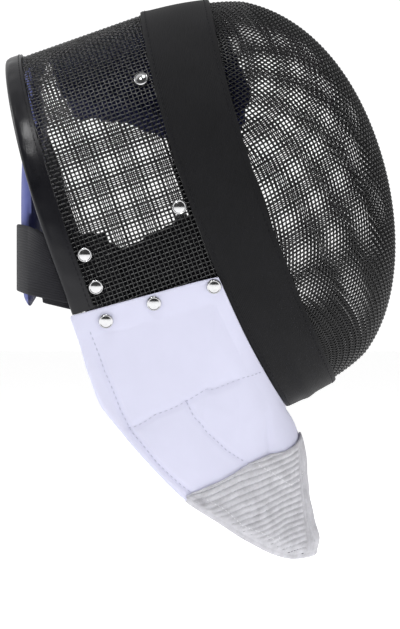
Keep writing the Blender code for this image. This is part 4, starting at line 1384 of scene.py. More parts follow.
@dataclass(frozen=True)
class Bib(BibShape):
    """The padded cloth bib with its seams, hems and soft folds."""

    rows: int = 110
    rear_inset: float = 0.003
    puff: float = 0.0012
    puff_width: float = 0.012
    sag: float = 0.0008
    roll: float = 0.0024
    roll_width: float = 0.011
    flat: tuple[float, float] = (0.38, 0.20)
    area: float = 0.048
    seed: int = 23
    seams: tuple[Seam, ...] = (
        Seam(((1.91, 0.91), (1.802, 0.677), (1.705, 0.555), (1.615, 0.443), (1.481, 0.208),
              (1.367, 0.03)), 0.0010, 0.0018, True),
        Seam(((1.705, 0.555), (1.677, 0.618), (1.639, 0.652), (1.544, 0.645), (1.441, 0.60)),
             0.0010, 0.0019, True),
        Seam(((1.965, 0.16), (1.952, 0.52), (1.925, 0.800), (1.895, 0.90), (1.801, 0.945),
              (1.699, 0.950), (1.62, 0.948)), 0.0013, 0.0017, True),
        Seam(((1.315, 0.15), (1.324, 0.30), (1.304, 0.44)), 0.0012, 0.0035),
    )

    def relief(self, across: Array, down: Array) -> Array:
        """Rise of the outer face: puffed between the seams, sunk along them, slowly uneven.

        It is the puff times 1 less a wide bell over the nearest seam, less a narrow bell of each
        seam, plus the ripple, less a roll at the free edge that grows with the square of how near
        the edge is. All of it fades out where the bib laps the basket.
        """
        points = self.point(across, down)
        span = self.span(across)
        below_lap = np.clip((down * span - self.lap - 0.002) / self.lap, 0.0, 1.0)
        near_edge = np.clip((1.0 - down) * span / self.hem_width, 0.0, 1.0)
        rise = self.sag * ripple(9.0 * across, 7.0 * down, self.seed)
        nearest = np.full(down.shape, 1.0)
        sunk = np.zeros(down.shape)
        for seam in self.seams:
            for mirrored in (False, True):
                path = self.point(*seam.path(mirrored))
                distance = distance_to_path(points, path)
                nearest = np.minimum(nearest, distance)
                sunk = sunk + seam.depth * bump(distance, seam.width)
        swell = self.puff * (1.0 - bump(nearest, self.puff_width)) * near_edge
        front = np.clip(2.0 - 3.0 * np.abs(1.0 - across), 0.25, 1.0)
        roll = self.roll * front * np.clip(1.0 - (1.0 - down) * span / self.roll_width, 0.0, 1.0) ** 2
        return (rise * near_edge + swell - sunk - roll) * below_lap

    def lowest(self, across: Array) -> Array:
        """Place down at which the face ends, so that its rounded edge ends at the hem."""
        return 1.0 - 0.5 * self.hem_thickness / self.span(across)

    def surface(self, across: Array, down: Array) -> tuple[Array, Array]:
        """Outer face with its relief, and its unit normals, in the mask's frame."""
        normal = self.outward(across, down)
        return self.point(across, down) + normal * self.relief(across, down)[..., None], normal

    def build(self, wardrobe: Wardrobe) -> None:
        """Build the padded sheet and the stitches of its seams."""
        knee = self.knee()[2]
        half = np.concatenate([np.linspace(self.rear_inset, knee, 50),
                               np.linspace(knee, 1.0, 80)[1:]])
        across = np.concatenate([half, 2.0 - half[-2::-1]])
        spread, share = np.meshgrid(across, np.linspace(0.0, 1.0, self.rows), indexing="ij")
        span = self.span(spread)
        by_band = np.clip((1.0 - np.abs(1.0 - spread) - knee) / 0.05 + 1.0, 0.0, 1.0)
        high = (0.3 + 0.25 * by_band) * self.edge_thickness / span
        fall = high + (self.lowest(spread) - high) * share
        outer, normal = self.surface(spread, fall)
        below_lap = np.clip((fall * span - self.lap) / self.lap, 0.0, 1.0)
        near_hem = np.clip(2.0 - (1.0 - fall) * span / self.hem_width, 0.0, 1.0)
        thickness = self.edge_thickness + (self.thickness - self.edge_thickness) * below_lap
        thickness = thickness + (self.hem_thickness - self.thickness) * near_hem
        inner = self.point(spread, fall) - normal * thickness[..., None]
        vertices, faces, cloth = rounded_slab(self.shell.to_world(outer),
                                              self.shell.to_world(inner), arc_map(outer))
        piece = make_piece("bib_cloth", vertices, faces, PADDED_CLOTH, wardrobe, cloth)
        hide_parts("bib")
        paths = []
        for seam in self.seams:
            for mirrored in (False, True):
                if seam.stitched:
                    line, out = self.surface(*seam.path(mirrored))
                    paths.append((self.shell.to_world(line + 0.0001 * out),
                                  unit(self.shell.to_world(line + out) - self.shell.to_world(line))))
        # The bib's stitches are real thread. Their darker grey is partly painted shade for the
        # dimples that they sit in.
        vertices, faces = Thread(length=0.0022, gap=0.0016, radius=0.00032).sew(paths)
        stitches = make_piece("bib_stitches", vertices, faces, PALE_THREAD, wardrobe)


@dataclass(frozen=True)
class BibPatch:
    """The grey conductive panel over the lower front of the bib, quilted in narrow channels."""

    bib: Bib = field(default_factory=Bib)
    thickness: float = 0.0008
    gap: float = 0.0003
    channel: float = 0.0040
    channel_rise: float = 0.0012
    slope: float = math.radians(19.0)
    front_share: float = 0.12
    front_channel: float = 0.0185
    front_blend: float = 0.01
    crumple: float = 0.22
    wrap: float = math.radians(125.0)
    wrap_rows: int = 10
    columns: int = 300
    rows: int = 140
    flat: tuple[float, float] = (0.26, 0.075)
    area: float = 0.0165
    top_rows: tuple[tuple[float, float], ...] = (
        (0.000, 0.210), (0.151, 0.310), (0.317, 0.448), (0.430, 0.590), (0.520, 0.733),
        (0.643, 0.925), (0.676, 0.975))
    dotted: tuple[tuple[tuple[float, float], ...], ...] = (
        ((1.404, 0.570), (1.319, 0.545), (1.204, 0.552), (1.113, 0.492), (1.060, 0.430)),
        ((1.292, 0.868), (1.289, 0.943)),
        ((1.618, 0.935), (1.555, 0.925), (1.475, 0.943), (1.390, 0.922), (1.311, 0.922)),
    )

    def channels(self, across: Array, down: Array) -> Array:
        """Number of the channel at each place, counted down along lines that rise forward.

        Seen from the side the lines are straight and rise by the slope. A slow ripple bends them.
        """
        world = self.bib.shell.to_world(self.bib.point(across, down))
        level = world[..., 0] * math.sin(self.slope) - world[..., 2] * math.cos(self.slope)
        return level / self.channel + 0.22 * ripple(14.0 * across, 9.0 * down, 31)

    def in_front(self, across: Array) -> Array:
        """1 on the front panel, whose channels are upright, and 0 beside it."""
        return np.clip((self.front_share - np.abs(1.0 - across)) / self.front_blend + 0.5, 0.0, 1.0)

    def quilt(self, across: Array, down: Array) -> Array:
        """Rise of the quilting: rows of channels beside, upright channels in front.

        A channel's rise is a power of the size of a sine, so that it meets its seams sharply.
        """
        beside = np.abs(np.sin(math.pi * self.channels(across, down))) ** 0.5
        upright = np.abs(1.0 - across) / self.front_channel
        front = np.abs(np.sin(math.pi * upright)) ** 0.5
        crumple = self.crumple * ripple(70.0 * across, 30.0 * down, 37)
        return self.channel_rise * (beside + (front - beside) * self.in_front(across) + crumple)

    def rolled(self, seat: Array, normal: Array, relief: Array, height: Array) -> Array:
        """Rows that carry the last row of the face round the bib's hem.

        Each row turns about the middle of the hem's thickness, by up to the angle of the wrap.
        """
        face, out = seat[:, -1], normal[:, -1]
        beyond = face - seat[:, -4]
        beyond = unit(beyond - out * np.sum(beyond * out, axis=-1, keepdims=True))
        half = (0.5 * (self.bib.hem_thickness + relief[:, -1]))[:, None]
        middle = (face - out * half)[:, None]
        turn = np.linspace(0.0, self.wrap, self.wrap_rows + 1)[1:][None, :, None]
        around = out[:, None] * np.cos(turn) + beyond[:, None] * np.sin(turn)
        return middle + around * (half[:, None] + height)

    def seams(self, across: Array, fall: Array) -> list[tuple[Array, Array]]:
        """Places along the grooves between the channels on both sides."""
        number = self.channels(np.repeat(across[:, None], fall.shape[1], axis=1), fall)
        paths = []
        for groove in range(math.ceil(number.min()), math.floor(number.max()) + 1):
            down = np.array([np.interp(groove, row, places, left=-1.0, right=-1.0)
                             for row, places in zip(number, fall)])
            for beside in (across < 1.0 - self.front_share, across > 1.0 + self.front_share):
                found = beside & (down > 0.0)
                if found.sum() > 4:
                    paths.append((across[found], down[found]))
        return paths

    def sew(self, name: str, paths: list[tuple[Array, Array]], thread: Any, finish: Finish,
            lift: float, wardrobe: Wardrobe) -> None:
        """Sew a thread along places across and down, at a height above the seat."""
        shell = self.bib.shell
        lines = []
        for spots in paths:
            line, out = self.bib.surface(*spots)
            height = self.gap + self.thickness + self.quilt(*spots) + lift
            line = shell.to_world(line + out * height[:, None])
            lines.append((line, unit(shell.to_world(out) - shell.to_world(np.zeros(3)))))
        vertices, faces = thread.sew(lines)
        make_piece(name, vertices, faces, finish, wardrobe)

    def build(self, wardrobe: Wardrobe) -> None:
        """Build the panel, the grey seams between its channels and its dotted white lines."""
        bib, shell = self.bib, self.bib.shell
        widest = self.top_rows[-1][0]
        across = 1.0 + np.linspace(-widest, widest, self.columns)
        top = smooth_through(self.top_rows, np.abs(1.0 - across))
        low = np.maximum(bib.lowest(across), top + 0.003)
        share = np.linspace(0.0, 1.0, self.rows)
        spread = np.repeat(across[:, None], self.rows, axis=1)
        fall = top[:, None] + (low - top)[:, None] * share[None, :]
        seat, normal = bib.surface(spread, fall)
        relief = np.sum((seat - bib.point(spread, fall)) * normal, axis=-1)
        fade = np.clip((1.0 - share) * 8.0, 0.0, 1.0)[None, :]
        height = (self.thickness + self.quilt(spread, fall) * fade)[..., None]
        wrapped = self.rolled(seat, normal, relief, self.gap)
        inner = np.concatenate([seat + normal * self.gap, wrapped], axis=1)
        wrapped = self.rolled(seat, normal, relief, self.gap + self.thickness)
        outer = np.concatenate([seat + normal * (self.gap + height), wrapped], axis=1)
        vertices, faces, cloth = rounded_slab(shell.to_world(outer), shell.to_world(inner),
                                              arc_map(outer), steps=2)
        piece = make_piece("patch_cloth", vertices, faces, LAME, wardrobe, cloth)
        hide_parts("bib_patch")
        self.sew("patch_seams", self.seams(across, fall),
                 Thread(length=0.0021, gap=0.0009, radius=0.00024), GREY_THREAD, 0.00005, wardrobe)
        dotted = [Seam(places, 0.0, 1.0).path(mirrored)
                  for places in self.dotted for mirrored in (False, True)]
        self.sew("patch_stitches", dotted, Thread(length=0.0015, gap=0.0015, radius=0.00030),
                 WHITE_THREAD, 0.00010, wardrobe)


@dataclass(frozen=True)
class Puff:
    """Cloth-pressure simulation that fills a pad, with a cap on how far it may swell."""

    voxel: float = 0.0035
    pressure: float = 4.0
    frames: int = 20
    cap: float = 0.0012

    def inflate(self, piece: bpy.types.Object) -> None:
        """Remesh the piece, swell it as cloth under pressure and keep the result as its mesh."""
        remesh = piece.modifiers.new("skin", "REMESH")
        remesh.mode = "VOXEL"
        remesh.voxel_size = self.voxel
        remesh.use_smooth_shade = True
        self.keep(piece)
        before = self.places(piece.data)
        cloth = piece.modifiers.new("cloth", "CLOTH")
        cloth.settings.use_pressure = True
        cloth.settings.uniform_pressure_force = self.pressure
        cloth.settings.effector_weights.gravity = 0.0
        cloth.point_cache.frame_start = 1
        cloth.point_cache.frame_end = self.frames
        scene = bpy.context.scene
        for frame in range(1, self.frames + 1):
            scene.frame_set(frame)
        self.keep(piece)
        scene.frame_set(1)
        move = self.places(piece.data) - before
        size = np.linalg.norm(move, axis=1, keepdims=True)
        move = move * np.minimum(1.0, self.cap / np.maximum(size, 1e-9))
        piece.data.vertices.foreach_set("co", (before + move).astype(np.float32).ravel())
        piece.data.update()

    def keep(self, piece: bpy.types.Object) -> None:
        """Make the evaluated mesh the piece's own and take its modifiers off."""
        graph = bpy.context.evaluated_depsgraph_get()
        mesh = bpy.data.meshes.new_from_object(piece.evaluated_get(graph))
        piece.modifiers.clear()
        piece.data = mesh

    def places(self, mesh: bpy.types.Mesh) -> Array:
        """Vertex places of a mesh, one a row."""
        values = np.empty(len(mesh.vertices) * 3, dtype=np.float32)
        mesh.vertices.foreach_get("co", values)
        return values.reshape(-1, 3).astype(float)


@dataclass(frozen=True)
class Pad:
    """A stuffed pad between an outer grid and an inner one, filled by simulation."""

    name: str
    node: str
    finish: Any
    puff: Puff = field(default_factory=Puff)
    fill: float = 0.7

    def build(self, outer: Array, inner: Array, wardrobe: Wardrobe) -> bpy.types.Object:
        """Build the pad from world grids, swell it and smooth it once."""
        vertices, faces, _ = rounded_slab(outer, inner, np.zeros(outer.shape[:2] + (2,)), steps=3)
        piece = make_piece(self.name, vertices, faces, self.finish, wardrobe)
        self.puff.inflate(piece)
        smooth = piece.modifiers.new("smooth", "SUBSURF")
        smooth.levels = 1
        smooth.render_levels = 1
        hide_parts(self.node)
        return piece


@dataclass(frozen=True)
class Layers:
    """Growths of the layers inside the mesh, from the mesh inwards."""

    shell: Shell = SHELL
    binding_thickness: float = 0.0015
    liner_thickness: float = 0.0015
    strap_thickness: float = 0.0020
    strap_ease: float = 0.0009
    pad_ease: float = 0.0008
    rivet_ease: float = 0.0007
    rivet_foot: float = 0.0012

    @property
    def anchor_face(self) -> float:
        """Outer face of the strap's anchors and of the tongue's root."""
        return -(self.shell.wall + 2 * self.shell.clearance + self.binding_thickness)

    @property
    def anchor_middle(self) -> float:
        """Middle of the anchors."""
        return self.anchor_face - self.strap_thickness / 2

    @property
    def strap_middle(self) -> float:
        """Middle of the strap where it starts, one layer outside the anchors."""
        return self.anchor_face + self.strap_ease + self.strap_thickness / 2

    @property
    def crown_pad_face(self) -> float:
        """Outer face of the crown pad, inside the band's liner."""
        return -(self.shell.wall + self.shell.clearance + self.liner_thickness + self.pad_ease)

    @property
    def cheek_pad_face(self) -> float:
        """Outer face of the cheek pads, inside the rivets' feet."""
        return (self.anchor_face - self.strap_thickness - self.rivet_ease - self.rivet_foot
                - self.shell.clearance)


LAYERS = Layers()


@dataclass(frozen=True)
class HeadPads:
    """The pad under the crown and forehead, and the two cheek pads."""

    shell: Shell = SHELL
    layers: Layers = LAYERS
    crown_thickness: float = 0.012
    crown_rear: float = 0.098
    crown_front: float = 0.028
    edge_thickness: float = 0.0030
    fullness: float = 6.0
    cheek_thickness: float = 0.010
    cheek_inset: float = 0.014
    cheek_front: float = 0.033
    cheek_foot: float = -0.062
    cheek_top: float = 0.002
    inset: float = 0.0006
    crown_rows: tuple[tuple[float, float], ...] = (
        (0.00, 0.690), (0.30, 0.570), (0.42, 0.470), (0.65, 0.360), (0.85, 0.325), (1.00, 0.430))
    cheek_rows: tuple[tuple[float, float], ...] = (
        (0.00, 0.44), (0.10, 0.26), (0.24, 0.04), (0.36, 0.10), (0.58, 0.05), (1.00, 0.00))

    def stuffed(self, outer: Array, thickness: float) -> Array:
        """Inner face of a pad: full in its middle, thinned towards all four edges."""
        rows, columns = outer.shape[:2]
        down = np.abs(np.linspace(-1.0, 1.0, rows))[:, None] ** self.fullness
        over = np.abs(np.linspace(-1.0, 1.0, columns))[None, :] ** self.fullness
        depth = self.edge_thickness + (thickness - self.edge_thickness) * (1 - down) * (1 - over)
        normal = grid_normals(outer)
        middle = np.array([-0.5 * self.shell.rear_side, 0.0, outer[..., 2].mean()])
        if np.sum(normal * (middle - outer)) < 0.0:
            normal = -normal
        return outer + normal * depth[..., None]

    def build(self, wardrobe: Wardrobe) -> None:
        """Build the three pads."""
        shell, layers = self.shell, self.layers
        along = np.linspace(0.02, 0.98, 44)
        depth = -self.crown_rear + (self.crown_rear + self.crown_front) * along
        foot = shell.half_height * smooth_through(self.crown_rows, along)
        face = layers.crown_pad_face - self.inset
        low = shell.angle_at_height(foot, face)
        across = np.linspace(0.01, 0.99, 110)
        angle = low[:, None] + (math.pi - 2.0 * low)[:, None] * across[None, :]
        outer = shell.point(angle, np.repeat(depth[:, None], len(across), axis=1), face)
        inner = self.stuffed(outer, self.crown_thickness - 2 * self.inset)
        Pad("crown_cushion", "crown_pad", NAVY_PAD).build(shell.to_world(outer),
                                                          shell.to_world(inner), wardrobe)
        for side in Side:
            self.build_cheek(side, wardrobe)

    def build_cheek(self, side: Side, wardrobe: Wardrobe) -> None:
        """Build the cheek pad of one side."""
        shell = self.shell
        along = np.linspace(0.02, 0.98, 40)
        rear = -shell.rear_side + self.cheek_inset
        depth = rear + (-self.cheek_front - rear) * along
        top = self.cheek_top + (self.cheek_foot - self.cheek_top) * smooth_through(
            self.cheek_rows, along)
        down = np.linspace(0.02, 0.98, 26)
        height = top[:, None] + (self.cheek_foot - top)[:, None] * down[None, :]
        face = self.layers.cheek_pad_face - self.inset
        outer = shell.side_point(np.repeat(depth[:, None], len(down), axis=1), height, face)
        inner = self.stuffed(outer, self.cheek_thickness - 2 * self.inset)
        flip = np.array([1.0, side.value, 1.0])
        Pad(f"cheek_cushion_{side.word}", f"cheek_pad_{side.word}", BLACK_PAD).build(
            shell.to_world(outer * flip), shell.to_world(inner * flip), wardrobe)


@dataclass(frozen=True)
class Tongue:
    """The blue padded tongue down the back of the head."""

    shell: Shell = SHELL
    layers: Layers = LAYERS
    width: float = 0.062
    thickness: float = 0.012
    root_thickness: float = 0.005
    root_depth: float = 0.0995
    reach: float = 0.0643
    length: float = 0.1544
    root_cup: float = 0.062
    cup: float = 0.130
    rows: tuple[tuple[float, float, float, float], ...] = (
        (0.000, 0.000, 0.70, 0.00), (0.101, 0.011, 0.74, 0.05), (0.179, 0.043, 0.80, 0.20),
        (0.226, 0.095, 0.86, 0.45), (0.257, 0.154, 0.92, 0.75), (0.303, 0.238, 0.97, 0.95),
        (0.420, 0.361, 1.00, 1.00), (0.543, 0.490, 1.00, 1.00), (0.653, 0.616, 0.98, 1.00),
        (0.759, 0.742, 0.94, 1.00), (0.860, 0.859, 0.86, 0.92), (0.956, 0.960, 0.66, 0.60),
        (1.000, 1.000, 0.42, 0.15))

    def centre(self, drop: Array) -> tuple[Array, Array, Array, Array, Array]:
        """Depth, height, width, thickness and cup of the centre line at shares of its length.

        The table's columns are the shares of its reach backwards, of its length downwards, of
        its full width and of its full thickness.
        """
        table = np.array(self.rows)
        back, size, girth = (smooth_through(list(zip(table[:, 1], table[:, column])), drop)
                             for column in (0, 2, 3))
        root = self.shell.half_height + self.layers.anchor_face - self.root_thickness / 2
        thickness = self.root_thickness + (self.thickness - self.root_thickness) * girth
        cup = self.root_cup + (self.cup - self.root_cup) * girth
        return (-self.root_depth - self.reach * back, root - self.length * drop,
                self.width * size, thickness, cup)

    def build(self, wardrobe: Wardrobe) -> None:
        """Build the tongue from cupped sections across its centre line and swell it."""
        drop = np.concatenate([np.linspace(0.0, 0.1, 14) ** 1.0, np.linspace(0.1, 1.0, 56)[1:]])
        depth, height, width, thickness, cup = self.centre(drop)
        path = np.stack([depth, height], axis=1)
        tangent = unit(np.gradient(path, axis=0))
        normal = np.stack([tangent[:, 1], -tangent[:, 0]], axis=1)
        share = np.linspace(-1.0, 1.0, 32)[None, :]
        half = np.sqrt(1.0 - 0.92 * np.abs(share) ** 3.6) * (thickness[:, None] - 0.0008) / 2
        side = width[:, None] * share / 2
        cupped = -side ** 2 / (2.0 * cup[:, None])
        faces = []
        for sign in (1.0, -1.0):
            out = cupped + sign * half
            faces.append(self.shell.to_world(np.stack(
                [depth[:, None] + normal[:, :1] * out, side,
                 height[:, None] + normal[:, 1:] * out], axis=-1)))
        Pad("tongue_cushion", "tongue", BLUE_CLOTH).build(faces[0], faces[1], wardrobe)


@dataclass(frozen=True)
class Strap:
    """The elastic strap round the back and the anchors that hold it inside the basket."""

    shell: Shell = SHELL
    layers: Layers = LAYERS
    tongue: Tongue = field(default_factory=Tongue)
    width: float = 0.045
    thickness: float = 0.0020
    start_height: float = -0.0055
    rise: float = 0.0190
    power: float = 2.3
    swing: float = 0.6
    end_gap: float = 0.0009
    anchor_length: float = 0.036
    anchor_slope: float = 0.26
    anchor_width: float = 0.049
    anchor_end_width: float = 0.044
    anchor_lower: float = 0.002
    anchor_lap: float = 3.0
    cad_turns: float = 26.0
    flat: tuple[float, float] = (0.24, 0.045)
    anchor_flat: tuple[float, float] = (0.055, 0.049)

    def start(self) -> float:
        """Depth at which the strap starts, just behind the basket's binding."""
        return -(self.shell.rear_side + self.layers.binding_thickness + self.end_gap)

    def reach(self) -> float:
        """How far behind its start the strap runs, so that it passes just behind the tongue."""
        drop = np.array([row[1] for row in self.tongue.rows])
        depth, height, _, thickness, _ = self.tongue.centre(drop)
        level = self.start_height + self.rise
        centre = float(np.interp(-level, -height, depth))
        half = float(np.interp(-level, -height, thickness)) / 2
        behind = (half + self.layers.strap_ease + self.thickness / 2) / math.cos(self.shell.lean)
        return self.start() - (centre - behind)

    def point(self, turn: Array, across: Array, width: Array | float, drop: float,
              growth: float) -> Array:
        """Point of the strap's middle face: turn below 0 is inside the basket, 90 deg behind.

        Behind the basket the strap follows a superellipse seen from above. Its rows start along
        the basket's rear edge and swing upright as it goes round the back.
        """
        lean = self.shell.lean
        inside = np.clip(-turn, 0.0, None)
        round_back = np.clip(turn, 0.0, math.pi)
        sweep = np.abs(np.sin(round_back)) ** (2.0 / self.power)
        side = signed_power(np.cos(round_back), 2.0 / self.power)
        upright = np.clip(sweep / self.swing, 0.0, 1.0)
        lift = across * width - drop
        reach = self.reach() + growth - self.layers.strap_middle
        depth = self.start() + inside - reach * sweep + lift * math.sin(lean) * upright
        tall = math.cos(lean) * upright + (1.0 - upright) / math.cos(lean)
        height = self.start_height - self.anchor_slope * inside + self.rise * sweep + lift * tall
        wall = self.shell.side_point(depth, height, growth)
        return np.stack([depth, wall[..., 1] * side, height], axis=-1)

    def panel(self, name: str, node: str, middle: Array,
              wardrobe: Wardrobe) -> bpy.types.Object:
        """Webbing of even thickness about a grid of middle points, with rounded edges."""
        normal = grid_normals(middle) * self.thickness / 2
        to_world = self.shell.to_world
        vertices, faces, cloth = rounded_slab(to_world(middle - normal), to_world(middle + normal),
                                              arc_map(middle), steps=3)
        piece = make_piece(name, vertices, faces, ELASTIC, wardrobe, cloth)
        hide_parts(node)
        return piece

    def build(self, wardrobe: Wardrobe) -> None:
        """Build the strap and both anchors."""
        edge = 0.5 - self.thickness / 2 / self.width
        across = np.linspace(-edge, edge, 24)
        turn = np.linspace(0.0, math.pi, 161)
        middle = self.point(turn[:, None], across[None, :], self.width, 0.0,
                            self.layers.strap_middle)
        self.panel("back_strap", "rear_strap", middle, wardrobe)
        lap = math.pi / self.cad_turns * self.anchor_lap
        turn = np.concatenate([np.linspace(-self.anchor_length, 0.0, 24),
                               np.linspace(0.0, lap, 16)[1:]])
        taper = np.clip(-turn / self.anchor_length, 0.0, 1.0)
        width = self.anchor_width + (self.anchor_end_width - self.anchor_width) * taper
        middle = self.point(turn[:, None], across[None, :], width[:, None], self.anchor_lower,
                            self.layers.anchor_middle)
        for side in Side:
            flip = np.array([1.0, side.value, 1.0])
            self.panel(f"anchor_{side.word}", f"strap_anchor_{side.word}", middle * flip,
                       wardrobe)


@dataclass(frozen=True)
class Rivets:
    """The plated rivets: a domed head, a shank and a flat foot."""

    shell: Shell = SHELL
    bib: BibShape = field(default_factory=BibShape)
    layers: Layers = LAYERS
    radius: float = 0.0050
    cap_radius: float = 0.0037
    cap_rise: float = 0.0009
    ring_crest: float = 0.0041
    ring_height: float = 0.0019
    dome: float = 0.0026
    shank_radius: float = 0.0016
    foot_radius: float = 0.0032
    sides: int = 28
    rows: tuple[tuple[float, float, str], ...] = (
        (0.027, 0.650, "mesh"), (0.025, 0.038, "mesh"), (0.989, -0.023, "anchor"),
        (0.993, -0.176, "anchor"), (1.011, -0.336, "bib"), (0.553, -0.333, "bib"),
        (-0.001, -0.352, "bib"))

    def profile(self, grip: float) -> Array:
        """Radius and height pairs from the dome's top to the foot's underside.

        A round cap sits in a ring whose outer side is a quarter of an ellipse.
        """
        base = self.shell.clearance
        share = np.linspace(0.0, 1.0, 8)
        cap = np.stack([self.cap_radius * share,
                        base + self.dome - self.cap_rise * share ** 2], axis=-1)
        turn = np.linspace(0.0, 0.5 * math.pi, 7)
        ring = np.stack([self.ring_crest + (self.radius - self.ring_crest) * np.sin(turn),
                         base + self.ring_height * np.cos(turn)], axis=-1)
        head = np.concatenate([cap, ring[:-1]])
        foot = -(grip + self.layers.rivet_ease)
        low = foot - self.layers.rivet_foot
        stem = np.array([(self.radius, base), (self.shank_radius, base), (self.shank_radius, foot),
                         (self.foot_radius, foot), (self.foot_radius, low), (0.0, low)])
        return np.concatenate([head, stem])

    def turned(self, profile: Array) -> tuple[Array, list[Array]]:
        """Profile turned round the third axis, closed by a pole at both ends."""
        turn = 2.0 * math.pi * np.arange(self.sides) / self.sides
        body = profile[1:-1]
        rings = np.stack([body[:, :1] * np.cos(turn), body[:, :1] * np.sin(turn),
                          np.repeat(body[:, 1:], self.sides, axis=1)], axis=-1)
        vertices = np.concatenate([rings.reshape(-1, 3), [[0.0, 0.0, profile[0, 1]],
                                                          [0.0, 0.0, profile[-1, 1]]]])
        step = np.arange(self.sides)
        beside = (step + 1) % self.sides
        count = len(body) * self.sides
        last = count - self.sides
        tips = np.concatenate([
            np.stack([np.full(self.sides, count), step, beside], axis=-1),
            np.stack([np.full(self.sides, count + 1), last + beside, last + step], axis=-1)])
        quads = grid_quads(len(body), self.sides, wrap_columns=True)
        return vertices, [quads[:, ::-1], tips]

    def build(self, wardrobe: Wardrobe) -> None:
        """Build all the rivets where the frame's are."""
        shell = self.shell
        grips = {"mesh": (0.0, shell.wall),
                 "anchor": (0.0, self.layers.strap_thickness - self.layers.anchor_face),
                 "bib": (self.bib.face, self.bib.face + shell.wall)}
        margin = self.radius + shell.clearance
        for number, (share, tall, holds) in enumerate(self.rows, start=1):
            growth, grip = grips[holds]
            height = np.array(shell.half_height * tall)
            angle = shell.angle_at_height(height)
            front = shell.band_middle(angle) - shell.band_width(angle) / 2 - margin
            rear = shell.rear_depth(angle) + Binding().width(angle) + margin
            depth = front + (rear - front) * share
            seat = shell.side_point(depth, height, growth)
            rise = shell.side_point(depth, height + 0.001, growth) - seat
            out = unit(np.array([0.0, rise[2], -rise[1]]))
            aside = np.array([1.0, 0.0, 0.0])
            axes = np.stack([aside, np.cross(out, aside), out])
            vertices, faces = self.turned(self.profile(grip))
            placed = seat + vertices @ axes
            for side in Side:
                world = shell.to_world(placed * np.array([1.0, side.value, 1.0]))
                piece = make_piece(f"rivet_head_{side.word}_{number}", world,
                                   outward(world - world.mean(axis=0), faces), CHROME, wardrobe)
                sharpen(piece, 40.0)
                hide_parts(f"rivet_{side.word}_{number}")


@dataclass(frozen=True)
class Softbox:
    """A soft square light: where it stands, what it faces, its side and its power in watts.

    A light that isn't mirrored lights the mask and shows in none of its gloss.
    """

    name: str
    place: tuple[float, float, float]
    target: tuple[float, float, float]
    size: float
    power: float
    mirrored: bool = True


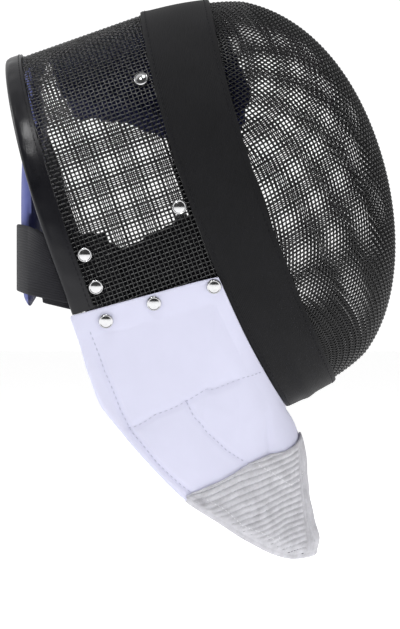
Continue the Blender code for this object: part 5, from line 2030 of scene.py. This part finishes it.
@dataclass(frozen=True)
class Studio:
    """The pale floor, the soft light, the white surroundings and the camera."""

    camera_place: tuple[float, float, float] = (0.0227, -1.6, -0.1945)
    lens: float = 132.7
    sensor: float = 36.0
    floor_height: float = -0.440
    floor_half_width: float = 14.0
    seen_level: float = 1.08
    world_level: float = 0.67
    world_dark: float = 0.05
    dark_from: float = 0.15
    dark_to: float = 0.50
    dark_lift: float = 0.10
    softboxes: tuple[Softbox, ...] = (
        Softbox("key_light", (-0.6, -1.2, 1.3), (0.0, 0.0, -0.15), 0.35, 9.5),
        Softbox("fill_light", (1.4, -1.3, 0.5), (0.0, 0.0, -0.15), 0.8, 7.0, False),
        Softbox("top_light", (0.1, -0.5, 1.2), (0.0, 0.0, -0.1), 0.30, 3.5),
        Softbox("rear_light", (-1.6, 0.2, 0.5), (-0.05, 0.0, -0.1), 0.6, 6.0),
        Softbox("floor_light", (0.0, 0.9, 2.2), (0.0, 1.3, -0.44), 1.8, 20.0, False),
    )

    def build(self, wardrobe: Wardrobe) -> None:
        """Build the floor, the lights, the surroundings and the camera."""
        self.build_floor(wardrobe)
        for softbox in self.softboxes:
            self.build_light(softbox)
        self.build_world()
        self.build_camera()

    def build_floor(self, wardrobe: Wardrobe) -> None:
        """Flat square of floor, wider and deeper than the camera sees."""
        wide = self.floor_half_width
        corners = [(-wide, -wide), (wide, -wide), (wide, wide), (-wide, wide)]
        mesh = bpy.data.meshes.new("floor")
        mesh.from_pydata([(*corner, self.floor_height) for corner in corners], [], [(0, 1, 2, 3)])
        mesh.materials.append(wardrobe.get(PAPER))
        floor = bpy.data.objects.new("floor", mesh)
        bpy.context.scene.collection.objects.link(floor)

    def build_light(self, softbox: Softbox) -> None:
        """One square area light that faces its target."""
        data = bpy.data.lights.new(softbox.name, "AREA")
        data.shape = "SQUARE"
        data.size = softbox.size
        data.energy = softbox.power
        light = bpy.data.objects.new(softbox.name, data)
        light.location = softbox.place
        aim = Vector(softbox.target) - Vector(softbox.place)
        light.rotation_euler = aim.to_track_quat("-Z", "Y").to_euler()
        light.visible_camera = False
        light.visible_glossy = softbox.mirrored
        bpy.context.scene.collection.objects.link(light)

    def build_world(self) -> None:
        """White surroundings, with a darker half in front that lights and mirrors as a dark room.

        The camera itself sees plain white all round.
        """
        world = bpy.data.worlds.new("studio")
        world.use_nodes = True
        nodes = Nodes(world.node_tree)
        direction = nodes.put("ShaderNodeTexCoord").outputs["Generated"]
        parts = nodes.put("ShaderNodeSeparateXYZ", {"Vector": direction})
        facing = nodes.math("SUBTRACT", nodes.math("MULTIPLY", parts.outputs["Z"], self.dark_lift),
                            nodes.math("MULTIPLY", parts.outputs["Y"],
                                       math.sqrt(1.0 - self.dark_lift ** 2)))
        limits = {"Value": facing, "From Min": self.dark_from, "From Max": self.dark_to,
                  "To Min": self.world_level, "To Max": self.world_dark}
        level = nodes.put("ShaderNodeMapRange", limits).outputs["Result"]
        seen = nodes.put("ShaderNodeLightPath").outputs["Is Camera Ray"]
        shown = nodes.math("MULTIPLY", nodes.math("SUBTRACT", self.seen_level, level), seen)
        background = world.node_tree.nodes["Background"]
        nodes.tree.links.new(nodes.math("ADD", level, shown), background.inputs["Strength"])
        background.inputs["Color"].default_value = (1.0, 1.0, 1.0, 1.0)
        bpy.context.scene.world = world

    def build_camera(self) -> None:
        """Camera square to the wearer's right side, at the middle of the mask's height."""
        data = bpy.data.cameras.new("camera")
        data.lens = self.lens
        data.sensor_width = self.sensor
        camera = bpy.data.objects.new("camera", data)
        camera.location = self.camera_place
        camera.rotation_euler = (0.5 * math.pi, 0.0, 0.0)
        bpy.context.scene.collection.objects.link(camera)
        bpy.context.scene.camera = camera
        bpy.context.scene.view_settings.view_transform = "Standard"


def main() -> None:
    """Build the mask's pieces in order, then the studio round them."""
    logging.basicConfig(level=logging.INFO, format="%(message)s")
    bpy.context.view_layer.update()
    wardrobe = Wardrobe()
    FaceMesh().build(wardrobe)
    SideMesh().build(wardrobe)
    TrimBand().build(wardrobe)
    Binding().build(wardrobe)
    Bib().build(wardrobe)
    BibPatch().build(wardrobe)
    Tongue().build(wardrobe)
    Strap().build(wardrobe)
    HeadPads().build(wardrobe)
    Rivets().build(wardrobe)
    Studio().build(wardrobe)


if __name__ == "__main__":
    main()
